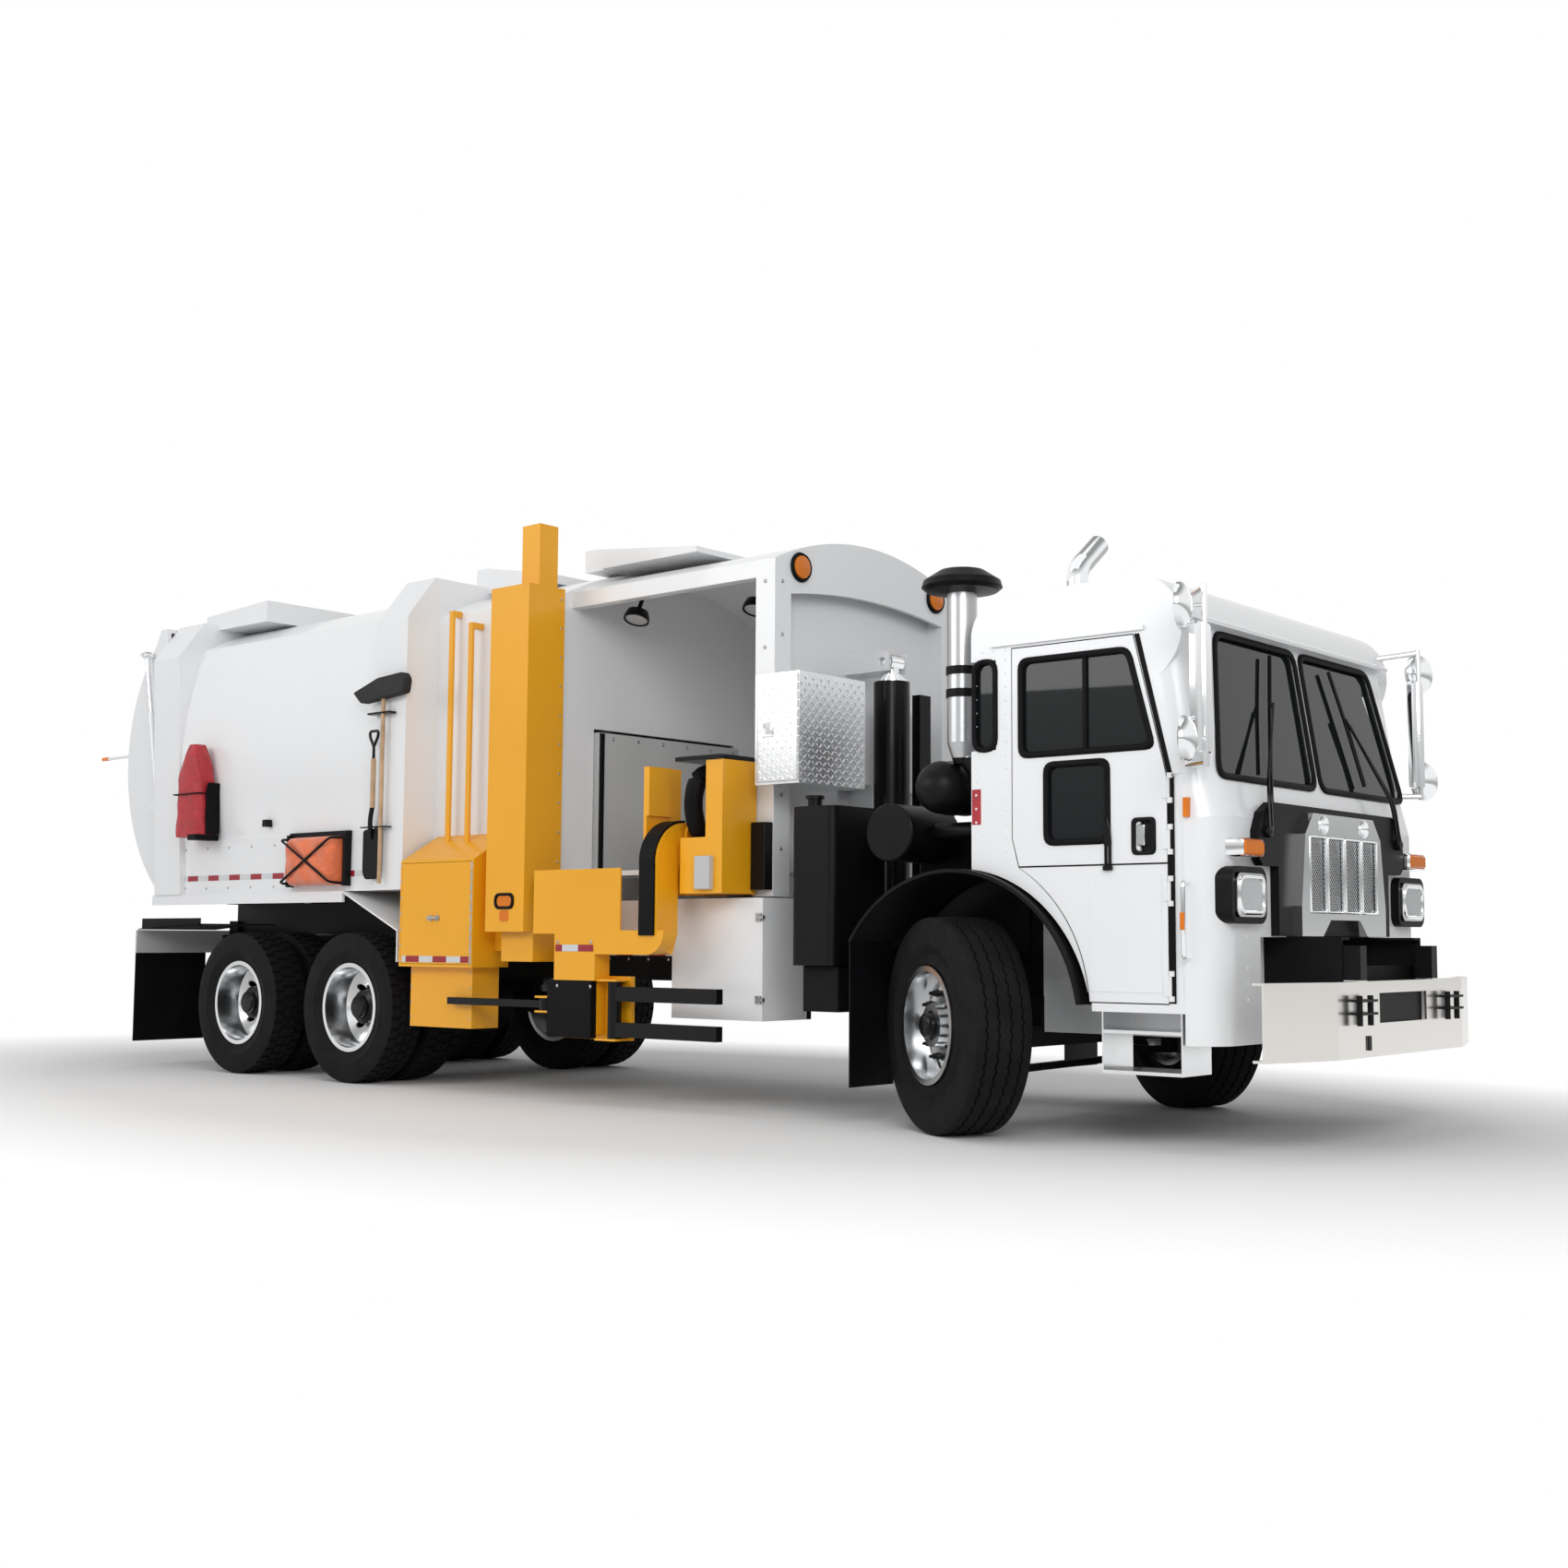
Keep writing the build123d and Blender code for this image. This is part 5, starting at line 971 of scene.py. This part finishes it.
# %% Red cover
def cover():
    """Rings up the cover: a squarish section |cos|^p, |sin|^p with waves, narrowed towards the top."""
    middle_x, middle_y, foot, tall, body_face = -3495, -1312, 1722, 690, -1221
    height = np.linspace(0, 1, 40)[:, None]
    turn = np.linspace(0, 2 * math.pi, 72, endpoint=False)[None]
    power = 0.55
    u = np.sign(np.cos(turn)) * np.abs(np.cos(turn)) ** power
    v = np.sign(np.sin(turn)) * np.abs(np.sin(turn)) ** power
    narrow = np.where(height < 0.62, 1 - 0.16 * height, 0.9008 - 2.5 * np.abs(height - 0.62) ** 1.45)
    ripple = 1 + 0.035 * np.sin(7 * turn + 9 * height) * height + 0.02 * np.sin(23 * height + 3 * turn)
    x = middle_x + 170 * u * narrow * ripple
    y = np.minimum(middle_y + 88 * v * np.sqrt(narrow) * ripple, body_face)
    z = foot + tall * height + 0 * turn
    rings = np.stack([x, y, z], -1)
    floor = np.broadcast_to(rings[:1].mean(1, keepdims=True), rings[:1].shape)
    top = np.broadcast_to(rings[-1:].mean(1, keepdims=True), rings[-1:].shape)
    return np.concatenate([floor, rings, top]), grid_faces(42, 72, wrap_columns=True)


red = add("red_cover", [cover()], red_vinyl, "tipping_body", 60, "extinguisher_cover")
band = [pipe([(-3674, -1318, 2040), (-3658, -1398, 2040), (-3495, -1403, 2036), (-3334, -1398, 2040),
              (-3318, -1318, 2040)], 6, 6),
        block(-3430, -3318, 1694, 1736, 1222, 1412, "right", 4),
        slab([(-3352, 1740), (-3312, 1740), (-3312, 2120), (-3336, 2060)], 1222, 1330, "right", 3)]
add("cover_band", band, rubber, "tipping_body")
print("cover faces", len(red.data.polygons))

# %% [markdown]
# The orange bag sits in a black bracket and is held by two crossed straps. Its form is a rounded
# box whose cloth puffs out between the straps.


# %% Orange bag
def bag(rows=48, columns=40):
    """A grid over a rounded box front: depth bulges by cosines and sinks under the crossed straps."""
    a = np.linspace(-1, 1, rows)[:, None]
    b = np.linspace(-1, 1, columns)[None]
    edge = (1 - np.abs(a) ** 6) * (1 - np.abs(b) ** 6)
    crossed = np.exp(-((a - b) / 0.09) ** 2) + np.exp(-((a + b) / 0.09) ** 2)
    depth = 110 * np.maximum(edge, 0) ** 0.35 * (1 - 0.16 * crossed) + 6 * np.sin(9 * a + 5 * b) * edge
    front = np.stack([-2051 + 300 * a + 0 * b, -1222 - depth, 1512 + 170 * b + 0 * a], -1)
    back = front * (1, 0, 1) + (0, -1200, 0)
    grid = grid_faces(rows, columns)
    points, faces = joined([(front, grid), (back, grid)])
    count = rows * columns
    index = np.arange(count).reshape(rows, columns)
    loop = np.concatenate([index[:, 0], index[-1, 1:], index[-2::-1, -1], index[0, -2:0:-1]])
    after = np.roll(loop, -1)
    rim = np.stack([loop, after, after + count, loop + count], -1)
    return points, faces + rim.tolist()


orange = add("tied_bag", [bag()], orange_cloth, "tipping_body", 60, "orange_bag")
holder = [block(-2400, -1700, 1640, 1715, 1196, 1226, "right", 3)]
holder += [block(u, u + 30, 1335, 1700, 1196, 1250, "right", 3) for u in (-2400, -1732)]
for lean in (-1, 1):
    strap = [(-2358, -1228, 1512 - lean * 160), (-2338, -1336, 1512 - lean * 150),
             (-1764, -1336, 1512 + lean * 150), (-1744, -1228, 1512 + lean * 160)]
    holder.append(pipe(bent(strap, 30), 9, 6))
add("bag_bracket", holder, plastic, "tipping_body")
print("bag faces", len(orange.data.polygons))

# %% [markdown]
# A broom and a shovel hang by the column. The broom's head is a block of dark bristles on a wooden
# stick, and the shovel has a flat black blade, a wooden shaft and a grip. Two hooks carry them.

# %% Broom and shovel
broom_x, broom_y = -1262, -1285
shovel_x, shovel_y = -1350, broom_y - 4
head = slab(rounded([(-1569, 2640), (-1480, 2560), (-1010, 2600), (-991, 2690), (-1030, 2738),
                     (-1300, 2720)], 20), 1258, 1318, "right", 8)
add("broom_head", [head], bristle, "tipping_body")
stick = [pipe(row((broom_x, broom_y, 1342), (broom_x, broom_y, 2590), 12), 14, 12),
         pipe(row((shovel_x, shovel_y, 1850), (shovel_x, shovel_y, 2180), 6), 17, 12)]
add("broom_stick", stick, wood, "tipping_body", replaces="broom_and_shovel")
blade = [(-1470, 1700), (-1470, 1420), (-1440, 1372), (-1320, 1372), (-1290, 1420), (-1290, 1700),
         (-1340, 1709), (-1420, 1709)]
neck = [(-1380, broom_y + 10, 1640), (-1372, broom_y - 6, 1760), (shovel_x, shovel_y, 1860)]
grip = [(shovel_x + u, shovel_y, z)
        for u, z in ((0, 2170), (0, 2260), (-45, 2330), (-45, 2366), (45, 2366), (45, 2330), (0, 2262))]
shovel = [slab(rounded(blade, 18), 1262, 1274, "right", 3), pipe(bent(neck, 60), 16, 10),
          pipe(bent(grip, 20), 10, 8)]
shovel += [block(-1420, -1180, 2478, 2492, 1238, 1300, "right", 2),
           block(-1470, -1200, 1716, 1724, 1238, 1300, "right", 2)]
add("shovel", shovel, black, "tipping_body")
print("shovel and hook parts", len(shovel))

# %% [markdown]
# The arm's carriage carries a thick hose guide that loops from its head down to the arm, and a black
# lid. Four bolts sit on the arm's lower block.

# %% Arm fittings
guide = pipe(bent([(1560, -960, 1940), (1545, -1140, 1930), (1520, -1170, 1760), (1500, -1100, 1600),
                   (1490, -1000, 1570)], 120), 55, 14)
add("hose_guide", [guide], rubber, "arm_slide_body")
lid = block(1400, 1760, -1190, -900, 2003, 2030, "top", 6)
add("carriage_lid", [lid], black, "arm_slide_body")
arm_bolts = studs([(u, v, 1299.5) for u in (540, 830) for v in (700, 960)], "right", 11, 7)
add("arm_bolts", [arm_bolts], steel, "arm_lift_body")

# %% [markdown]
# Behind the last axle hang two rubber mudflaps, each under a steel bracket with two red lamps. Black
# plates below the body's rear end are painted shade of its underside, and the tailgate's marker rod
# ends in an orange tip.

# %% Rear fittings
flaps, brackets, shade_plates, tail_lamps = [], [], [], []
shade_sheet = [(-4470, 1040), (-4470, 1046), (-4100, 1074), (-3620, 1084), (-3620, 1078), (-4100, 1068)]
for side in sides:
    shade_plates += [slab(shade_sheet, 520, 1190, side, 1), block(-4470, -3640, 1050, 1126, 1150, 1158, side, 1)]
lamp_profile = [(0, 0), (34, 0), (32, 10), (20, 16), (0, 18)]
for sign in (-1, 1):
    flaps.append(block(*sorted([sign * 590, sign * 1190]), 178, 862, 4486, 4496, "back", 2))
    brackets.append(block(*sorted([sign * 380, sign * 1190]), 859, 1036, 4480, 4500, "back", 2))
    tail_lamps += [lathe(lamp_profile, (-4500, sign * y, 950), (-1, 0, 0), 24) for y in (640, 560)]
add("rear_mudflaps", flaps, rubber, "chassis")
add("mudflap_brackets", brackets, grey, "chassis")
# Black plates under the body's rear end: painted shade of its underside.
add("rear_shade_plates", shade_plates, frame_black, "tipping_body")
add("tail_lamps", tail_lamps, red_lens, "chassis")
tip = lathe([(0, -6), (15, -6), (15, 84), (0, 84)], (-5296, -1080, 2430), (1, 0, 0), 16)
add("marker_tip", [tip], orange_plastic, "tailgate_body")
print("tail lamps", len(tail_lamps))

# %% [markdown]
# The floor is a plain pale sheet and the light is a soft studio: a wide lamp above, one from the front
# right and one from the rear right. Camera rays see a white world, and mirrored rays see one with a
# dark band at the horizon and a greyer top, so that bright metal has something to show.


# %% Floor and light
def soft_lamp(name, place, aim, size, power):
    """An area lamp that looks from its place to an aim."""
    data = bpy.data.lights.new(name, "AREA")
    data.shape = "RECTANGLE"
    data.size, data.size_y = size
    data.energy = power
    lamp = bpy.data.objects.new(name, data)
    away = np.asarray(place, float) - np.asarray(aim, float)
    away /= np.linalg.norm(away)
    side = np.cross((0, 0, 1), away)
    side /= np.linalg.norm(side)
    lamp.matrix_world = placed(side, np.cross(away, side), away, place)
    bpy.context.scene.collection.objects.link(lamp)


soft_lamp("top_lamp", (0, -2, 11), (0, 0, 0), (16, 9), 340)
soft_lamp("front_lamp", (11, -9, 6), (2, 0, 1.5), (7, 5), 580)
soft_lamp("side_lamp", (-4, -12, 6), (-1, 0, 1.5), (9, 4), 400)


def pale_floor():
    """Near white floor that takes the shadow, and turns plain white for far camera and mirror rays."""
    material, tree, main, where = shader("pale_floor")
    shades = (0.80, 0.80, 0.80), (0.83, 0.83, 0.83)
    fill(tree, main, {"Base Color": blend_colours(tree, noise(tree, where, 0.4), *shades), "Roughness": 0.9})
    step = sums(tree)
    along, across = split(tree, where)[:2]
    wide = step("MULTIPLY", across, 1.9)
    reach = step("SQRT", step("ADD", step("MULTIPLY", along, along), step("MULTIPLY", wide, wide)))
    fade = step("MINIMUM", step("MAXIMUM", step("DIVIDE", step("SUBTRACT", reach, 5.6), 3.4), 0.0), 1.0)
    rays = tree.nodes.new("ShaderNodeLightPath").outputs
    seen = step("MAXIMUM", step("MAXIMUM", rays["Is Camera Ray"], rays["Is Glossy Ray"]),
                rays["Is Transmission Ray"])
    mixed = node(tree, "MixShader", {"Fac": step("MULTIPLY", fade, seen), 1: main.outputs[0],
                                     2: node(tree, "Emission", {})})
    fill(tree, tree.nodes["Material Output"], {"Surface": mixed})
    return material


floor_reach = 60
floor_corners = rectangle(-floor_reach, floor_reach, -floor_reach, floor_reach)
floor_mesh = bpy.data.meshes.new("floor")
floor_mesh.from_pydata([(u, v, 0) for u, v in floor_corners], [], [(0, 1, 2, 3)])
floor_mesh.materials.append(pale_floor())
floor = bpy.data.objects.new("floor", floor_mesh)
bpy.context.scene.collection.objects.link(floor)

world = bpy.data.worlds.new("studio")
bpy.context.scene.world = world
world.use_nodes = True
tree = world.node_tree
tree.nodes.remove(tree.nodes["Background"])
step = sums(tree)
rays = tree.nodes.new("ShaderNodeLightPath").outputs
up = split(tree, node(tree, "TexCoord", {}, "Generated"))[2]
high_shade = step("MINIMUM", step("MAXIMUM", step("MULTIPLY", step("SUBTRACT", up, 0.45), 2.2), 0.0), 0.65)
from_horizon = step("ABSOLUTE", step("SUBTRACT", up, 0.04))
low_shade = step("MAXIMUM", step("SUBTRACT", 0.62, step("MULTIPLY", from_horizon, 4.5)), 0.0)
mirrored_strength = step("SUBTRACT", step("SUBTRACT", 1.0, high_shade), low_shade)
lighting, mirrored, seen = [node(tree, "Background", {"Color": (1, 1, 1, 1), "Strength": strength})
                            for strength in (0.42, mirrored_strength, 1.0)]
unseen = node(tree, "MixShader", {"Fac": rays["Is Glossy Ray"], 1: lighting, 2: mirrored})
straight = step("MAXIMUM", rays["Is Camera Ray"], rays["Is Transmission Ray"])
fill(tree, tree.nodes["World Output"],
     {"Surface": node(tree, "MixShader", {"Fac": straight, 1: unseen, 2: seen})})
bpy.context.scene.view_settings.view_transform = "Standard"
print("lamps", len(bpy.data.lights))
